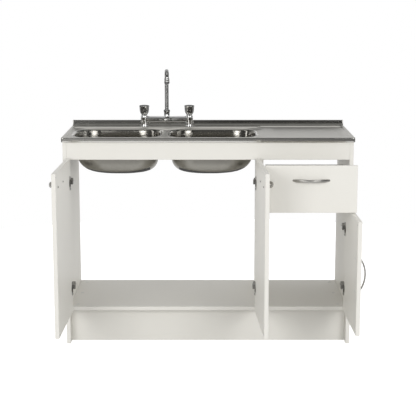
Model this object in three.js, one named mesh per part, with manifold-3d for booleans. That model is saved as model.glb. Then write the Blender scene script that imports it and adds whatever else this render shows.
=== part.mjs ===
// Kitchen sink unit: a white board cabinet with three hinged doors and a drawer, and a pressed
// steel sit-on sink with two bowls, a drainer and a two-knob mixer tap. It stands as photographed:
// doors open and drawer pulled out. Millimetres, +X right, +Y to the wall, +Z up. Inside the unit
// group, Y = 0 is the front plane of the cabinet's boards.
import * as THREE from 'three';
import { mergeVertices } from 'three/addons/utils/BufferGeometryUtils.js';
import Module from 'manifold-3d';

const wasm = await Module();
wasm.setup();

// ---------- driving dimensions ----------

// Clearances
const seat = 0.3;                // between pieces that rest on or butt against each other
const through = 1;               // how far a cutting tool runs past the face that it cuts
const hairline = 0.01;           // keeps two corners from falling on one point

// Cabinet boards
const cabinetWidth = 1190;
const cabinetDepth = 450;
const sideHeight = 855;
const board = 16;
const arris = 0.8;               // eased edge along both faces of every board
const plinthHeight = 145;
const plinthRecess = 50;
const frontRailHeight = 72;
const backRailHeight = 100;

// Fronts, given as they stand when shut
const front = 16;
const bumperGap = 2;             // the rubber bumpers hold the fronts this far off the boards
const sideOverlay = 8;
const middleDoorOverlay = 7.5;   // onto the partition, from the left
const rightFrontOverlay = 3;     // onto the partition, from the right
const railOverlay = 8;
const shelfOverlay = 13;
const doorGap = 3;
const drawerFrontHeight = 188;
const leftDoorOpen = 91.3;       // degrees
const middleDoorOpen = 92.9;
const rightDoorOpen = 91.3;

// Cup hinges
const pivotAhead = 0.5;          // turning axis in front of the shut front's outer face
const pivotOutboard = 1;         // turning axis beyond the inner face of the board behind it
const hingeFromEnd = 100;
const cupRadius = 17.5;
const cupDepth = 11.5;
const cupEdge = 4;               // wood left between the cup's bore and the front's edge
const cupWall = 1;
const boreClearance = 0.1;
const flangeHeight = 60;
const flangeWidth = 24;
const flangeThickness = 1.2;
const flangeCorner = 11;
const flangeEdgeSetback = 4;     // flange edge from the front's edge
const cupFacets = 16;
const armWidth = 17;
const armSheet = 1.4;
const armLength = 66;
const armRearReach = 21;         // outer face of the arm off the board, at the plate
const armCrankReach = 25.5;      // and at its cranked nose
const armNoseThickness = 8.5;
const noseIntoCup = 9;           // how far the nose passes in front of the cabinet's boards
const armNoseRun = 2;            // how far the nose runs straight behind that front plane
const armCheekLead = 1;          // how far the arm's cheeks start ahead of the plate's boss
const armChannelLead = 3;
const armTailChamfer = 6;
const plateHeight = 50;
const plateWing = 13;
const plateCorner = 5.5;
const plateThickness = 2;
const plateFromFront = 37;
const plateBossLength = 46;
const plateBossHeight = 12;

// Bow handles
const handleLength = 148;
const handleReach = 27;
const handleWidth = 13;
const handleThickness = 6;
const handleBelowTop = 59;
const handleFromFreeEdge = 120;
const uprightHandleFromFreeEdge = 55;
const uprightHandleHeight = 380;
const handleSides = 10;
const handleSteps = 16;

// Drawer and its runners
const drawerBehindHandle = 9;    // pulled-out front, behind the near end of the middle door's handle
const drawerBoard = 12;
const drawerBoxLength = 300;
const drawerBoxHeight = 120;
const drawerBoxAboveFrontBottom = 24;
const drawerBottomSheet = 3.5;
const drawerBottomGroove = 8;    // groove above the lower edge of the drawer sides
const drawerGrooveDepth = 6;
const runnerGap = 12.7;          // between the drawer's side and the board beside it
const runnerHeight = 28;
const runnerSheet = 1.2;
const runnerLip = 8.5;
const runnerFromFront = 3;
const runnerTongue = 7.5;
const runnerWebHeight = 20;
const rollerWidth = 6;
const rollerEase = 0.6;
const rollerPinRadius = 2.5;
const frontRollerFromEnd = 9;

// Sink; it is as long and deep as the cabinet and its overhangs
const sinkEndOverhang = 5;
const sinkFrontOverhang = 10;
const rimDrop = 20;
const rimRoll = 4;
const rimCorner = 8;
const rimReturn = 18;            // folded flange that rests on the boards' top edges
const steel = 1.2;
const fieldBorder = 12;          // flat rim round the pressed field
const fieldDrop = 3;
const fieldSlope = 3;
const fieldCorner = 14;
const ledgeDepth = 98;           // tap ledge, from the sink's back edge to its step down
const upstandHeight = 20;
const upstandDepth = 10;
const upstandCove = 5;
const bowlWidth = 352;
const bowlDepth = 155;
const bowlDivider = 49;
const bowlEndMargin = 43;        // from the sink's left end
const bowlFrontMargin = 28;      // from the sink's front edge
const bowlToLedge = 48;
const bowlCorner = 84;           // in plan, at the top
const bowlFloorCorner = 90;      // and at the floor, towards which it opens out
const bowlRoll = 10;
const bowlLip = 2;
const bowlToPartition = 2.5;     // from the right bowl's lip
const outerWallDraft = 0.12;
const innerWallDraft = 0.05;
const outerFloorRadius = 85;
const innerFloorRadius = 58;
const longFloorRadius = 46;      // along the bowl's front and back
const floorFall = 4;
const wasteRadius = 30;
const bowlToTray = 66;           // from the right bowl to the drainer tray
const trayEndMargin = 28;
const trayFrontMargin = 32;
const trayBackMargin = 74;
const trayDrop = 4;
const traySlope = 10;
const trayCorner = 34;
const drainFieldBackMargin = 62;
const drainFieldOverlap = 30;
const fieldBehindBowls = 56;     // where the bowls' field ends, right of the right bowl

// Mixer tap
const tapFromBack = 75;          // from the sink's back edge
const tapSpread = 197;
const pillarRadius = 16.5;
const pillarHeight = 46;
const pillarFootRadius = 20;
const pillarFootHeight = 3;
const pillarFootChamfer = 1;
const barHeight = 27;
const barDepth = 26;
const barCorner = 9;
const barAboveDeck = 18;
const tapHoleRadius = 14;
const tailRadius = 12.5;
const tailLength = 42;
const backNutAcross = 34;
const backNutHeight = 9;
const bonnetHeight = 6;
const bonnetRadius = 15;
const bonnetTopRadius = 11.5;
const spindleRadius = 4.5;
const spindleHeight = 12;
const knobHeight = 41;
const knobTopRadius = 22;
const knobFootRadius = 15.5;
const knobDome = 4;
const knobRim = 3;               // depth of the wider band round the top
const knobRimStep = 1;
const knobEase = 2.5;            // how far the rounded top edge leans in
const knobFootChamfer = 1.5;
const knobCrownRadius = 11;      // flat middle of the domed top
const knobFlutes = 8;
const knobFluteDepth = 1.8;
const pointsPerFlute = 4;
const spoutRadius = 8.5;
const spoutSeatDepth = 18;
const spoutRiserTop = 188;       // centre line above the deck where the first bend starts
const spoutBackBend = 57;
const spoutFrontBend = 19;
const spoutReach = 200;
const spoutYaw = 2.3;            // degrees, as photographed
const spoutSides = 12;
const spoutSteps = 38;
const socketRadius = 12;
const socketHeight = 7;
const spoutNutHeight = 21;
const spoutNutRadius = 14;
const spoutNutFoot = 2;
const spoutNutFootTaper = 0.5;
const spoutNutBand = 4;          // height of its widest band
const spoutNutCrown = 4;         // height of its rounded top
const spoutNutLip = 1.5;
const aeratorLength = 21.5;
const aeratorRadius = 11;
const aeratorOverlap = 14;
const aeratorBore = 7;
const aeratorEase = 1;
const aeratorShoulder = 2;

// ---------- derived places ----------

const sideInner = cabinetWidth / 2 - board;
const sinkWidth = cabinetWidth + 2 * sinkEndOverhang;
const sinkDepth = cabinetDepth + sinkFrontOverhang;
const sinkBack = cabinetDepth;
const ledgeStep = sinkBack - ledgeDepth;
const bowlFront = bowlFrontMargin - sinkFrontOverhang;
const bowlBack = ledgeStep - bowlToLedge;
const leftBowlStart = bowlEndMargin - sinkWidth / 2;
const leftBowlEnd = leftBowlStart + bowlWidth;
const rightBowlStart = leftBowlEnd + bowlDivider;
const rightBowlEnd = rightBowlStart + bowlWidth;
const trayStart = rightBowlEnd + bowlToTray;
const trayEnd = sinkWidth / 2 - trayEndMargin;
const trayFront = trayFrontMargin - sinkFrontOverhang;
const trayBack = sinkBack - trayBackMargin;
const drainFieldBack = sinkBack - drainFieldBackMargin;
const partitionLeft = rightBowlEnd + bowlRoll + bowlLip + bowlToPartition;
const partitionRight = partitionLeft + board;
const tapX = leftBowlEnd + bowlDivider / 2;
const tapY = sinkBack - tapFromBack;
const shelfTop = plinthHeight + board;
const railBottom = sideHeight - frontRailHeight;
const frontsTop = railBottom + railOverlay;
const frontsBottom = shelfTop - shelfOverlay;
const drawerFrontBottom = frontsTop - drawerFrontHeight;
const frontInnerY = -bumperGap;
const frontOuterY = frontInnerY - front;
const pairLeft = -(sideInner + sideOverlay);
const pairRight = partitionLeft + middleDoorOverlay;
const pairDoorWidth = (pairRight - pairLeft - doorGap) / 2;
const rightFrontLeft = partitionRight - rightFrontOverlay;
const rightFrontWidth = sideInner + sideOverlay - rightFrontLeft;
const handleRow = frontsTop - handleBelowTop;
const middleHingeEdge = middleDoorOverlay - pivotOutboard;
const middleHandleNear = pairDoorWidth - middleHingeEdge - handleFromFreeEdge - handleLength / 2;
const drawerPull = middleHandleNear + pivotAhead - drawerBehindHandle;
const runnerBottom = drawerFrontBottom + drawerBoxAboveFrontBottom;
const tongueTop = runnerBottom + runnerHeight / 2;
const rearRollerRadius = runnerHeight / 2 - runnerSheet - seat;
const frontRollerRadius = (runnerHeight / 2 - 2 * runnerSheet) / 2 - seat;
const pivotY = frontOuterY - pivotAhead;
const rimBottom = sideHeight + seat;
const deckTop = rimBottom + rimDrop;
const fieldTop = deckTop - fieldDrop;

// ---------- finishes ----------

function finish(color, roughness, metalness) {
  return () => new THREE.MeshStandardMaterial({ color, roughness, metalness, flatShading: true });
}

const whiteBoard = finish(0xe5e3db, 0.45, 0);
const brushedSteel = finish(0xa5a399, 0.32, 1);
const chrome = finish(0xc9c9c6, 0.12, 1);
const satinNickel = finish(0xb4b2aa, 0.3, 1);
const platedSteel = finish(0x9c9a94, 0.35, 1);
const brass = finish(0xb8975a, 0.35, 1);
const whiteNylon = finish(0xdcdcd6, 0.5, 0);

// ---------- solids, cuts and joins ----------

// One closed mesh: shared vertices merged, triangles that fold onto themselves left out.
function closedMesh(geometry) {
  const bare = geometry.clone();
  bare.deleteAttribute('normal');
  bare.deleteAttribute('uv');
  const merged = mergeVertices(bare, 1e-4);
  const index = merged.getIndex().array;
  const kept = [];
  for (let i = 0; i < index.length; i += 3) {
    const [a, b, c] = [index[i], index[i + 1], index[i + 2]];
    if (a !== b && b !== c && c !== a) kept.push(a, b, c);
  }
  merged.setIndex(kept);
  return merged;
}

function solidOf(geometry) {
  const mesh = closedMesh(geometry);
  return new wasm.Manifold(new wasm.Mesh({
    numProp: 3,
    vertProperties: new Float32Array(mesh.getAttribute('position').array),
    triVerts: new Uint32Array(mesh.getIndex().array),
  }));
}

function geometryOf(solid) {
  const mesh = solid.getMesh();
  const geometry = new THREE.BufferGeometry();
  geometry.setAttribute('position', new THREE.BufferAttribute(mesh.vertProperties, 3));
  geometry.setIndex(new THREE.BufferAttribute(mesh.triVerts, 1));
  geometry.computeVertexNormals();
  return geometry;
}

function cut(from, ...tools) {
  return geometryOf(tools.reduce((solid, tool) => solid.subtract(solidOf(tool)), solidOf(from)));
}

function join(first, ...others) {
  return geometryOf(others.reduce((solid, other) => solid.add(solidOf(other)), solidOf(first)));
}

function block(x0, x1, y0, y1, z0, z1) {
  const geometry = new THREE.BoxGeometry(x1 - x0, y1 - y0, z1 - z0);
  return geometry.translate((x0 + x1) / 2, (y0 + y1) / 2, (z0 + z1) / 2);
}

function upright(radius, z0, z1, x = 0, y = 0, sides = 24) {
  const geometry = new THREE.CylinderGeometry(radius, radius, z1 - z0, sides);
  return geometry.rotateX(Math.PI / 2).translate(x, y, (z0 + z1) / 2);
}

// Turned piece about +Z from [radius, height] points, which run up the outside.
function turned(profile, sides) {
  const points = profile.map(([radius, height]) => new THREE.Vector2(radius, height));
  return new THREE.LatheGeometry(points, sides).rotateX(Math.PI / 2);
}

function outline(points) {
  return new THREE.Shape(points.map(([x, y]) => new THREE.Vector2(x, y)));
}

function rectangle(x0, x1, y0, y1) {
  return outline([[x0, y0], [x1, y0], [x1, y1], [x0, y1]]);
}

function roundedRectangle(width, height, radius) {
  const shape = new THREE.Shape();
  const [x, y] = [width / 2 - radius, height / 2 - radius];
  shape.absarc(x, y, radius, 0, Math.PI / 2);
  shape.absarc(-x, y, radius, Math.PI / 2, Math.PI);
  shape.absarc(-x, -y, radius, Math.PI, Math.PI * 1.5);
  shape.absarc(x, -y, radius, Math.PI * 1.5, Math.PI * 2);
  return shape;
}

function extruded(shape, depth, curveSegments = 6) {
  return new THREE.ExtrudeGeometry(shape, { depth, bevelEnabled: false, curveSegments });
}

// Board with both faces' edges eased, lying from z = 0 to its thickness.
function easedBoard(shape, thickness) {
  return new THREE.ExtrudeGeometry(shape, {
    depth: thickness - 2 * arris,
    bevelThickness: arris,
    bevelSize: arris,
    bevelOffset: -arris,
    bevelSegments: 1,
  }).translate(0, 0, arris);
}

// Turns a shape drawn in x and y, and extruded along z, into one drawn in y and z that faces +X.
function facingX(geometry) {
  return geometry.rotateX(Math.PI / 2).rotateZ(Math.PI / 2);
}

// Boards by the direction they face. The outline is drawn in the two other directions.
function boardFacingX(shapeInYZ, thickness) {
  return facingX(easedBoard(shapeInYZ, thickness));
}

function boardFacingY(shapeInXZ, thickness) {
  return easedBoard(shapeInXZ, thickness).rotateX(Math.PI / 2).translate(0, thickness, 0);
}

// Rounded rectangle at one height, as a ring with the same count of points at every size.
const cornerSteps = 6;

function roundedRing({ left, right, front: near, back: far }, radius, z) {
  const centres = [
    [right - radius, far - radius],
    [left + radius, far - radius],
    [left + radius, near + radius],
    [right - radius, near + radius],
  ];
  return centres.flatMap(([x, y], corner) => Array.from({ length: cornerSteps + 1 }, (_, i) => {
    const angle = (corner + i / cornerSteps) * Math.PI / 2;
    return [x + radius * Math.cos(angle), y + radius * Math.sin(angle), z];
  }));
}

function inset(frame, by) {
  return {
    left: frame.left + by,
    right: frame.right - by,
    front: frame.front + by,
    back: frame.back - by,
  };
}

// Skin over rings that rise up the outside; a closed run of rings makes a shell with a hole.
function skin(rings, closedRun) {
  const count = rings[0].length;
  const positions = rings.flat(2);
  const index = [];
  const last = closedRun ? rings.length : rings.length - 1;
  for (let ring = 0; ring < last; ring += 1) {
    const low = ring * count;
    const high = ((ring + 1) % rings.length) * count;
    for (let i = 0; i < count; i += 1) {
      const next = (i + 1) % count;
      index.push(low + i, low + next, high + next, low + i, high + next, high + i);
    }
  }
  if (!closedRun) {
    const top = (rings.length - 1) * count;
    for (let i = 1; i < count - 1; i += 1) {
      index.push(0, i + 1, i, top, top + i, top + i + 1);
    }
  }
  const geometry = new THREE.BufferGeometry();
  geometry.setAttribute('position', new THREE.Float32BufferAttribute(positions, 3));
  geometry.setIndex(index);
  return geometry;
}

function piece(name, geometry, material, x = 0, y = 0, z = 0) {
  const mesh = new THREE.Mesh(closedMesh(geometry), material());
  mesh.geometry.computeVertexNormals();
  mesh.name = name;
  mesh.position.set(x, y, z);
  return mesh;
}

// ---------- cabinet ----------

function sidePanel(name, x) {
  const shape = rectangle(0, cabinetDepth, 0, sideHeight);
  return piece(name, boardFacingX(shape, board), whiteBoard, x, 0, 0);
}

function partition() {
  const depth = cabinetDepth;
  const railNotch = board + seat;
  const shape = outline([
    [0, shelfTop + seat],
    [depth, shelfTop + seat],
    [depth, sideHeight - backRailHeight - seat],
    [depth - railNotch, sideHeight - backRailHeight - seat],
    [depth - railNotch, sideHeight],
    [railNotch, sideHeight],
    [railNotch, railBottom - seat],
    [0, railBottom - seat],
  ]);
  return piece('partition', boardFacingX(shape, board), whiteBoard, partitionLeft, 0, 0);
}

function bottomShelf() {
  const shape = rectangle(-sideInner + seat, sideInner - seat, 0, cabinetDepth);
  return piece('bottom_shelf', easedBoard(shape, board), whiteBoard, 0, 0, plinthHeight);
}

function crossBoard(name, y, bottom, top) {
  const shape = rectangle(-sideInner + seat, sideInner - seat, bottom, top);
  return piece(name, boardFacingY(shape, board), whiteBoard, 0, y, 0);
}

function cabinet() {
  const group = new THREE.Group();
  group.add(
    sidePanel('left_side_panel', -cabinetWidth / 2),
    sidePanel('right_side_panel', sideInner),
    partition(),
    bottomShelf(),
    crossBoard('kickboard', plinthRecess, 0, plinthHeight - seat),
    crossBoard('front_rail', 0, railBottom, sideHeight),
    crossBoard('back_rail', cabinetDepth - board, sideHeight - backRailHeight, sideHeight),
  );
  return group;
}

// ---------- cup hinges ----------

// Both halves are drawn for a front hinged on its right. x = 0 is the inner face of the board
// behind the hinge and z = 0 the hinge's height.
function hingePlate(name) {
  const wingOutline = roundedRectangle(plateWing, plateHeight, plateCorner);
  const wing = facingX(extruded(wingOutline, plateThickness, 3))
    .translate(-seat - plateThickness, plateFromFront, 0);
  const reach = seat + plateBossHeight;
  const half = (armWidth - 2 * armSheet) / 2 - seat;
  const bossStart = plateFromFront - plateBossLength / 2;
  const boss = block(-reach, -seat, bossStart, bossStart + plateBossLength, -half, half);
  return piece(name, join(wing, boss), platedSteel);
}

function hingeArm(name) {
  const rear = armLength - noseIntoCup;
  const step = armCrankReach - armRearReach;
  const noseInner = armCrankReach - armNoseThickness;
  const cheekFoot = seat + plateThickness + armSheet;
  const crankStart = plateFromFront - plateBossLength / 2;
  const side = outline([
    [-armCrankReach, -noseIntoCup],
    [-noseInner, -noseIntoCup],
    [-noseInner, armNoseRun],
    [-cheekFoot, crankStart - armCheekLead],
    [-cheekFoot, rear],
    [-armRearReach + armTailChamfer, rear],
    [-armRearReach, rear - armTailChamfer],
    [-armRearReach, crankStart + 2 * step],
    [-armCrankReach, crankStart - step],
  ]);
  const body = extruded(side, armWidth).translate(0, 0, -armWidth / 2);
  const half = armWidth / 2 - armSheet;
  const channelTop = -(armRearReach - armSheet);
  const channelStart = crankStart - armChannelLead;
  const channel = block(channelTop, through, channelStart, rear + through, -half, half);
  return piece(name, cut(body, channel), satinNickel);
}

// Cup and its flange, with the cup's mouth facing +Y and centred on x = 0, z = 0.
function hingeCup(name) {
  const floor = -cupDepth;
  const bore = cupRadius - boreClearance;
  const cup = turned([
    [0, floor],
    [bore, floor],
    [bore, seat + flangeThickness],
    [bore - cupWall, seat + flangeThickness],
    [bore - cupWall, floor + cupWall],
    [0, floor + cupWall],
  ], cupFacets);
  const plate = roundedRectangle(flangeWidth, flangeHeight, flangeCorner);
  const setback = cupRadius + cupEdge - flangeEdgeSetback - flangeWidth / 2;
  const flange = extruded(plate, flangeThickness, 4).translate(setback, 0, seat);
  const well = upright(bore - cupWall / 2, floor / 2, 2 * flangeThickness, 0, 0, cupFacets);
  const facing = join(cup, cut(flange, well)).rotateX(-Math.PI / 2);
  return piece(name, facing, satinNickel);
}

// ---------- fronts ----------

function bowHandle(name) {
  const half = handleLength / 2;
  const outerRadius = (half * half + handleReach * handleReach) / (2 * handleReach);
  const radius = outerRadius - handleThickness / 2;
  const centreY = outerRadius - handleReach;
  const sweep = Math.acos((centreY - handleThickness) / outerRadius);
  const pointAt = (angle) => new THREE.Vector3(
    radius * Math.sin(angle), centreY - radius * Math.cos(angle), 0);
  const arcPoints = 9;
  const path = new THREE.CatmullRomCurve3(Array.from(
    { length: arcPoints }, (_, i) => pointAt(sweep * (2 * i / (arcPoints - 1) - 1))));
  const section = new THREE.Shape();
  section.absellipse(0, 0, handleWidth / 2, handleThickness / 2, 0, Math.PI * 2);
  const bow = new THREE.ExtrudeGeometry(section, {
    steps: handleSteps,
    extrudePath: path,
    curveSegments: handleSides / 2,
    bevelEnabled: false,
  });
  const span = handleLength;
  const behind = block(-span, span, -seat, span, -span, span);
  return piece(name, cut(bow, behind), satinNickel);
}

// A door is drawn shut, hinged on its right, about its turning axis at x = 0, y = 0. The hinge
// edge stands at hingeEdge and the panel runs width to the left of it.
function doorPanel(name, width, hingeEdge, bottom, top) {
  const shape = rectangle(hingeEdge - width, hingeEdge, bottom, top);
  const slab = boardFacingY(shape, front).translate(0, pivotAhead, 0);
  const boreX = hingeEdge - cupEdge - cupRadius;
  const inner = pivotAhead + front;
  const bores = hingeHeights(bottom, top).map((height) => (
    upright(cupRadius, -cupDepth - seat, through, 0, 0, cupFacets)
      .rotateX(-Math.PI / 2)
      .translate(boreX, inner, height)));
  return piece(name, cut(slab, ...bores), whiteBoard);
}

function hingeHeights(bottom, top) {
  return [top - hingeFromEnd, bottom + hingeFromEnd];
}

// side is 1 for a door hinged on its right and -1 for one hinged on its left, which is the mirror
// image. boardFace is the inner face of the board that carries the hinges.
function hingedDoor({ name, side, boardFace, width, overlay, bottom, top, open, handle }) {
  const fixed = new THREE.Group();
  const moving = new THREE.Group();
  const hingeEdge = overlay - pivotOutboard;
  const facing = side === 1 ? (mesh) => mesh : mirrored;
  const levels = ['upper', 'lower'];
  hingeHeights(bottom, top).forEach((height, i) => {
    const label = `${name}_${levels[i]}`;
    const plate = facing(hingePlate(`${label}_hinge_plate`));
    const arm = facing(hingeArm(`${label}_hinge_arm`));
    plate.position.set(boardFace, 0, height);
    arm.position.set(boardFace, 0, height);
    fixed.add(plate, arm);
    const cup = facing(hingeCup(`${label}_hinge_cup`));
    cup.position.set(side * (hingeEdge - cupEdge - cupRadius), pivotAhead + front, height);
    moving.add(cup);
  });
  moving.add(facing(doorPanel(`${name}_panel`, width, hingeEdge, bottom, top)));
  const pull = bowHandle(`${name}_handle`);
  if (handle.upright) pull.rotation.y = Math.PI / 2;
  pull.position.set(side * (hingeEdge - width + handle.fromFreeEdge), pivotAhead, handle.height);
  moving.add(pull);
  moving.position.set(boardFace + side * pivotOutboard, pivotY, 0);
  moving.rotation.z = side * THREE.MathUtils.degToRad(open);
  const both = new THREE.Group();
  both.add(fixed, moving);
  return both;
}

function mirrored(mesh) {
  const flipped = mesh.geometry.clone().scale(-1, 1, 1);
  const index = flipped.getIndex().array;
  for (let i = 0; i < index.length; i += 3) {
    [index[i], index[i + 1]] = [index[i + 1], index[i]];
  }
  flipped.computeVertexNormals();
  mesh.geometry = flipped;
  return mesh;
}

function doors() {
  const pairHandle = { upright: false, fromFreeEdge: handleFromFreeEdge, height: handleRow };
  const rightHandle = {
    upright: true, fromFreeEdge: uprightHandleFromFreeEdge, height: uprightHandleHeight,
  };
  const pair = { width: pairDoorWidth, bottom: frontsBottom, top: frontsTop, handle: pairHandle };
  const group = new THREE.Group();
  group.add(
    hingedDoor({
      ...pair, name: 'left_door', side: -1, boardFace: -sideInner, overlay: sideOverlay,
      open: leftDoorOpen,
    }),
    hingedDoor({
      ...pair, name: 'middle_door', side: 1, boardFace: partitionLeft, overlay: middleDoorOverlay,
      open: middleDoorOpen,
    }),
    hingedDoor({
      name: 'right_door', side: 1, boardFace: sideInner, overlay: sideOverlay,
      width: rightFrontWidth, bottom: frontsBottom, top: drawerFrontBottom - doorGap,
      open: rightDoorOpen, handle: rightHandle,
    }),
  );
  return group;
}

// ---------- drawer ----------

// Drawn shut; the group is then pulled out. Its box hangs between the partition and the right side.
function drawer() {
  const boxLeft = partitionRight + runnerGap;
  const boxRight = sideInner - runnerGap;
  const boxFront = frontInnerY + seat;
  const boxBack = boxFront + drawerBoxLength;
  const boxBottom = runnerBottom;
  const boxTop = boxBottom + drawerBoxHeight;
  const sheetBottom = boxBottom + drawerBottomGroove;
  const sheetTop = sheetBottom + drawerBottomSheet;
  const grooveBottom = sheetBottom - seat;
  const grooveTop = sheetTop + seat;
  const insideLeft = boxLeft + drawerBoard;
  const insideRight = boxRight - drawerBoard;

  const group = new THREE.Group();
  const frontShape = rectangle(
    rightFrontLeft, rightFrontLeft + rightFrontWidth, drawerFrontBottom, frontsTop);
  group.add(piece('drawer_front', boardFacingY(frontShape, front), whiteBoard, 0, frontOuterY, 0));

  const sideShape = rectangle(boxFront, boxBack, boxBottom, boxTop);
  [['left', boxLeft, insideLeft - drawerGrooveDepth], ['right', insideRight, insideRight]].forEach(
    ([hand, x, grooveX]) => {
      const side = boardFacingX(sideShape, drawerBoard).translate(x, 0, 0);
      const groove = block(grooveX - (hand === 'right' ? through : 0),
        grooveX + drawerGrooveDepth + (hand === 'left' ? through : 0),
        boxFront - through, boxBack + through, grooveBottom, grooveTop);
      group.add(piece(`drawer_${hand}_side`, cut(side, groove), whiteBoard));
    });

  const backShape = rectangle(insideLeft + seat, insideRight - seat, grooveTop, boxTop);
  group.add(piece('drawer_back', boardFacingY(backShape, drawerBoard), whiteBoard,
    0, boxBack - drawerBoard, 0));

  const sheet = block(insideLeft - drawerGrooveDepth + seat, insideRight + drawerGrooveDepth - seat,
    boxFront + seat, boxBack, sheetBottom, sheetTop);
  group.add(piece('drawer_bottom', sheet, whiteBoard));

  const handle = bowHandle('drawer_handle');
  handle.position.set(rightFrontLeft + rightFrontWidth / 2, frontOuterY, handleRow);
  group.add(handle);

  group.add(
    innerRunner('left', boxLeft, boxFront),
    innerRunner('right', boxRight, boxFront),
    rearRoller('left', boxLeft, boxBack),
    rearRoller('right', boxRight, boxBack),
  );
  group.position.y = -drawerPull;
  return group;
}

// Rail screwed under the drawer's side. Its tongue runs on the roller at the front of the cabinet's
// channel, and stops short of its own roller at the back, which runs inside that channel.
function innerRunner(hand, sideFace, y) {
  const out = hand === 'right' ? 1 : -1;
  const web = seat + runnerSheet;
  const tongueEnd = web + runnerTongue;
  const underside = runnerBottom - seat;
  const shape = outline([
    [out * -drawerBoard, underside - runnerSheet],
    [out * web, underside - runnerSheet],
    [out * web, tongueTop - runnerSheet],
    [out * tongueEnd, tongueTop - runnerSheet],
    [out * tongueEnd, tongueTop],
    [out * web, tongueTop],
    [out * web, runnerBottom + runnerWebHeight],
    [out * seat, runnerBottom + runnerWebHeight],
    [out * seat, underside],
    [out * -drawerBoard, underside],
  ]);
  const length = drawerBoxLength;
  const rail = extruded(shape, length).rotateX(Math.PI / 2).translate(0, length, 0);
  const rollerRoom = 2 * (rearRollerRadius + seat);
  const beyond = tongueEnd + through;
  const notch = block(Math.min(out * web, out * beyond), Math.max(out * web, out * beyond),
    length - rollerRoom, length + through, tongueTop - 2 * runnerSheet, tongueTop + runnerSheet);
  return piece(`drawer_${hand}_inner_runner`, cut(rail, notch), platedSteel, sideFace, y, 0);
}

// Channel screwed to the cabinet, open towards the drawer.
function outerRunner(hand, boardFace) {
  const out = hand === 'right' ? -1 : 1;
  const bottom = runnerBottom;
  const shape = outline([
    [out * seat, bottom],
    [out * (seat + runnerLip), bottom],
    [out * (seat + runnerLip), bottom + runnerSheet],
    [out * (seat + runnerSheet), bottom + runnerSheet],
    [out * (seat + runnerSheet), bottom + runnerHeight - runnerSheet],
    [out * (seat + runnerLip), bottom + runnerHeight - runnerSheet],
    [out * (seat + runnerLip), bottom + runnerHeight],
    [out * seat, bottom + runnerHeight],
  ]);
  const length = drawerBoxLength;
  const rail = extruded(shape, length).rotateX(Math.PI / 2).translate(0, length, 0);
  return piece(`drawer_${hand}_outer_runner`, rail, platedSteel, boardFace, runnerFromFront, 0);
}

// Wheel with its pin, turned about X; it stands on x = 0 and the pin points to -X.
function roller(name, radius, pinLength) {
  const profile = [
    [0, -pinLength],
    [rollerPinRadius, -pinLength],
    [rollerPinRadius, 0],
    [radius - rollerEase, 0],
    [radius, rollerEase],
    [radius, rollerWidth - rollerEase],
    [radius - rollerEase, rollerWidth],
    [0, rollerWidth],
  ];
  return piece(name, turned(profile, 16).rotateY(Math.PI / 2), whiteNylon);
}

// Pinned to the cabinet's channel, under the tongue.
function frontRoller(hand, boardFace) {
  const name = `drawer_${hand}_front_roller`;
  const out = hand === 'right' ? -1 : 1;
  const wheel = roller(name, frontRollerRadius, 0);
  const facing = out === 1 ? wheel : mirrored(wheel);
  facing.position.set(
    boardFace + out * (2 * seat + runnerSheet),
    runnerFromFront + frontRollerFromEnd,
    runnerBottom + runnerSheet + seat + frontRollerRadius);
  return facing;
}

// Pinned to the drawer's rail, inside the channel.
function rearRoller(hand, sideFace, boxBack) {
  const name = `drawer_${hand}_rear_roller`;
  const out = hand === 'right' ? 1 : -1;
  const wheelFace = runnerGap - (2 * seat + runnerSheet) - rollerWidth;
  const wheel = roller(name, rearRollerRadius, wheelFace - (2 * seat + runnerSheet));
  const facing = out === 1 ? wheel : mirrored(wheel);
  facing.position.set(sideFace + out * wheelFace, boxBack - rearRollerRadius, tongueTop);
  return facing;
}

function runners() {
  const group = new THREE.Group();
  group.add(
    outerRunner('left', partitionRight),
    outerRunner('right', sideInner),
    frontRoller('left', partitionRight),
    frontRoller('right', sideInner),
  );
  return group;
}

// ---------- sink ----------

const sinkFrame = {
  left: -sinkWidth / 2, right: sinkWidth / 2, front: -sinkFrontOverhang, back: sinkBack,
};
const bowlFrames = {
  left: { left: leftBowlStart, right: leftBowlEnd, front: bowlFront, back: bowlBack },
  right: { left: rightBowlStart, right: rightBowlEnd, front: bowlFront, back: bowlBack },
};
const trayFrame = { left: trayStart, right: trayEnd, front: trayFront, back: trayBack };

// Solid with a pressed shape: flat floor, sloping border and straight sides above it.
function pressing(frame, corner, floor, slope, top, height) {
  return skin([
    roundedRing(inset(frame, slope), corner - slope / 2, floor),
    roundedRing(frame, corner, top),
    roundedRing(frame, corner, top + height),
  ], false);
}

function rolledBlock(frame, bottom, top, corner, roll) {
  const rings = [roundedRing(frame, corner, bottom)];
  const steps = 3;
  for (let i = 0; i <= steps; i += 1) {
    const angle = i / steps * Math.PI / 2;
    const inward = roll * (1 - Math.cos(angle));
    const height = top - roll + roll * Math.sin(angle);
    rings.push(roundedRing(inset(frame, inward), corner - inward / 2, height));
  }
  return skin(rings, false);
}

function upstandBlock(thick) {
  const near = sinkBack - upstandDepth + thick;
  const top = deckTop + upstandHeight - thick;
  const half = sinkWidth / 2 - thick;
  const shape = new THREE.Shape();
  shape.moveTo(near - upstandCove, deckTop - steel - thick);
  shape.lineTo(near - upstandCove, deckTop - thick);
  shape.absarc(
    near - upstandCove, deckTop + upstandCove - thick, upstandCove, -Math.PI / 2, 0, false);
  shape.lineTo(near, top);
  shape.lineTo(sinkBack - thick, top);
  shape.lineTo(sinkBack - thick, deckTop - steel - thick);
  const length = 2 * half;
  return facingX(extruded(shape, length, 3)).translate(-half, 0, 0);
}

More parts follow.
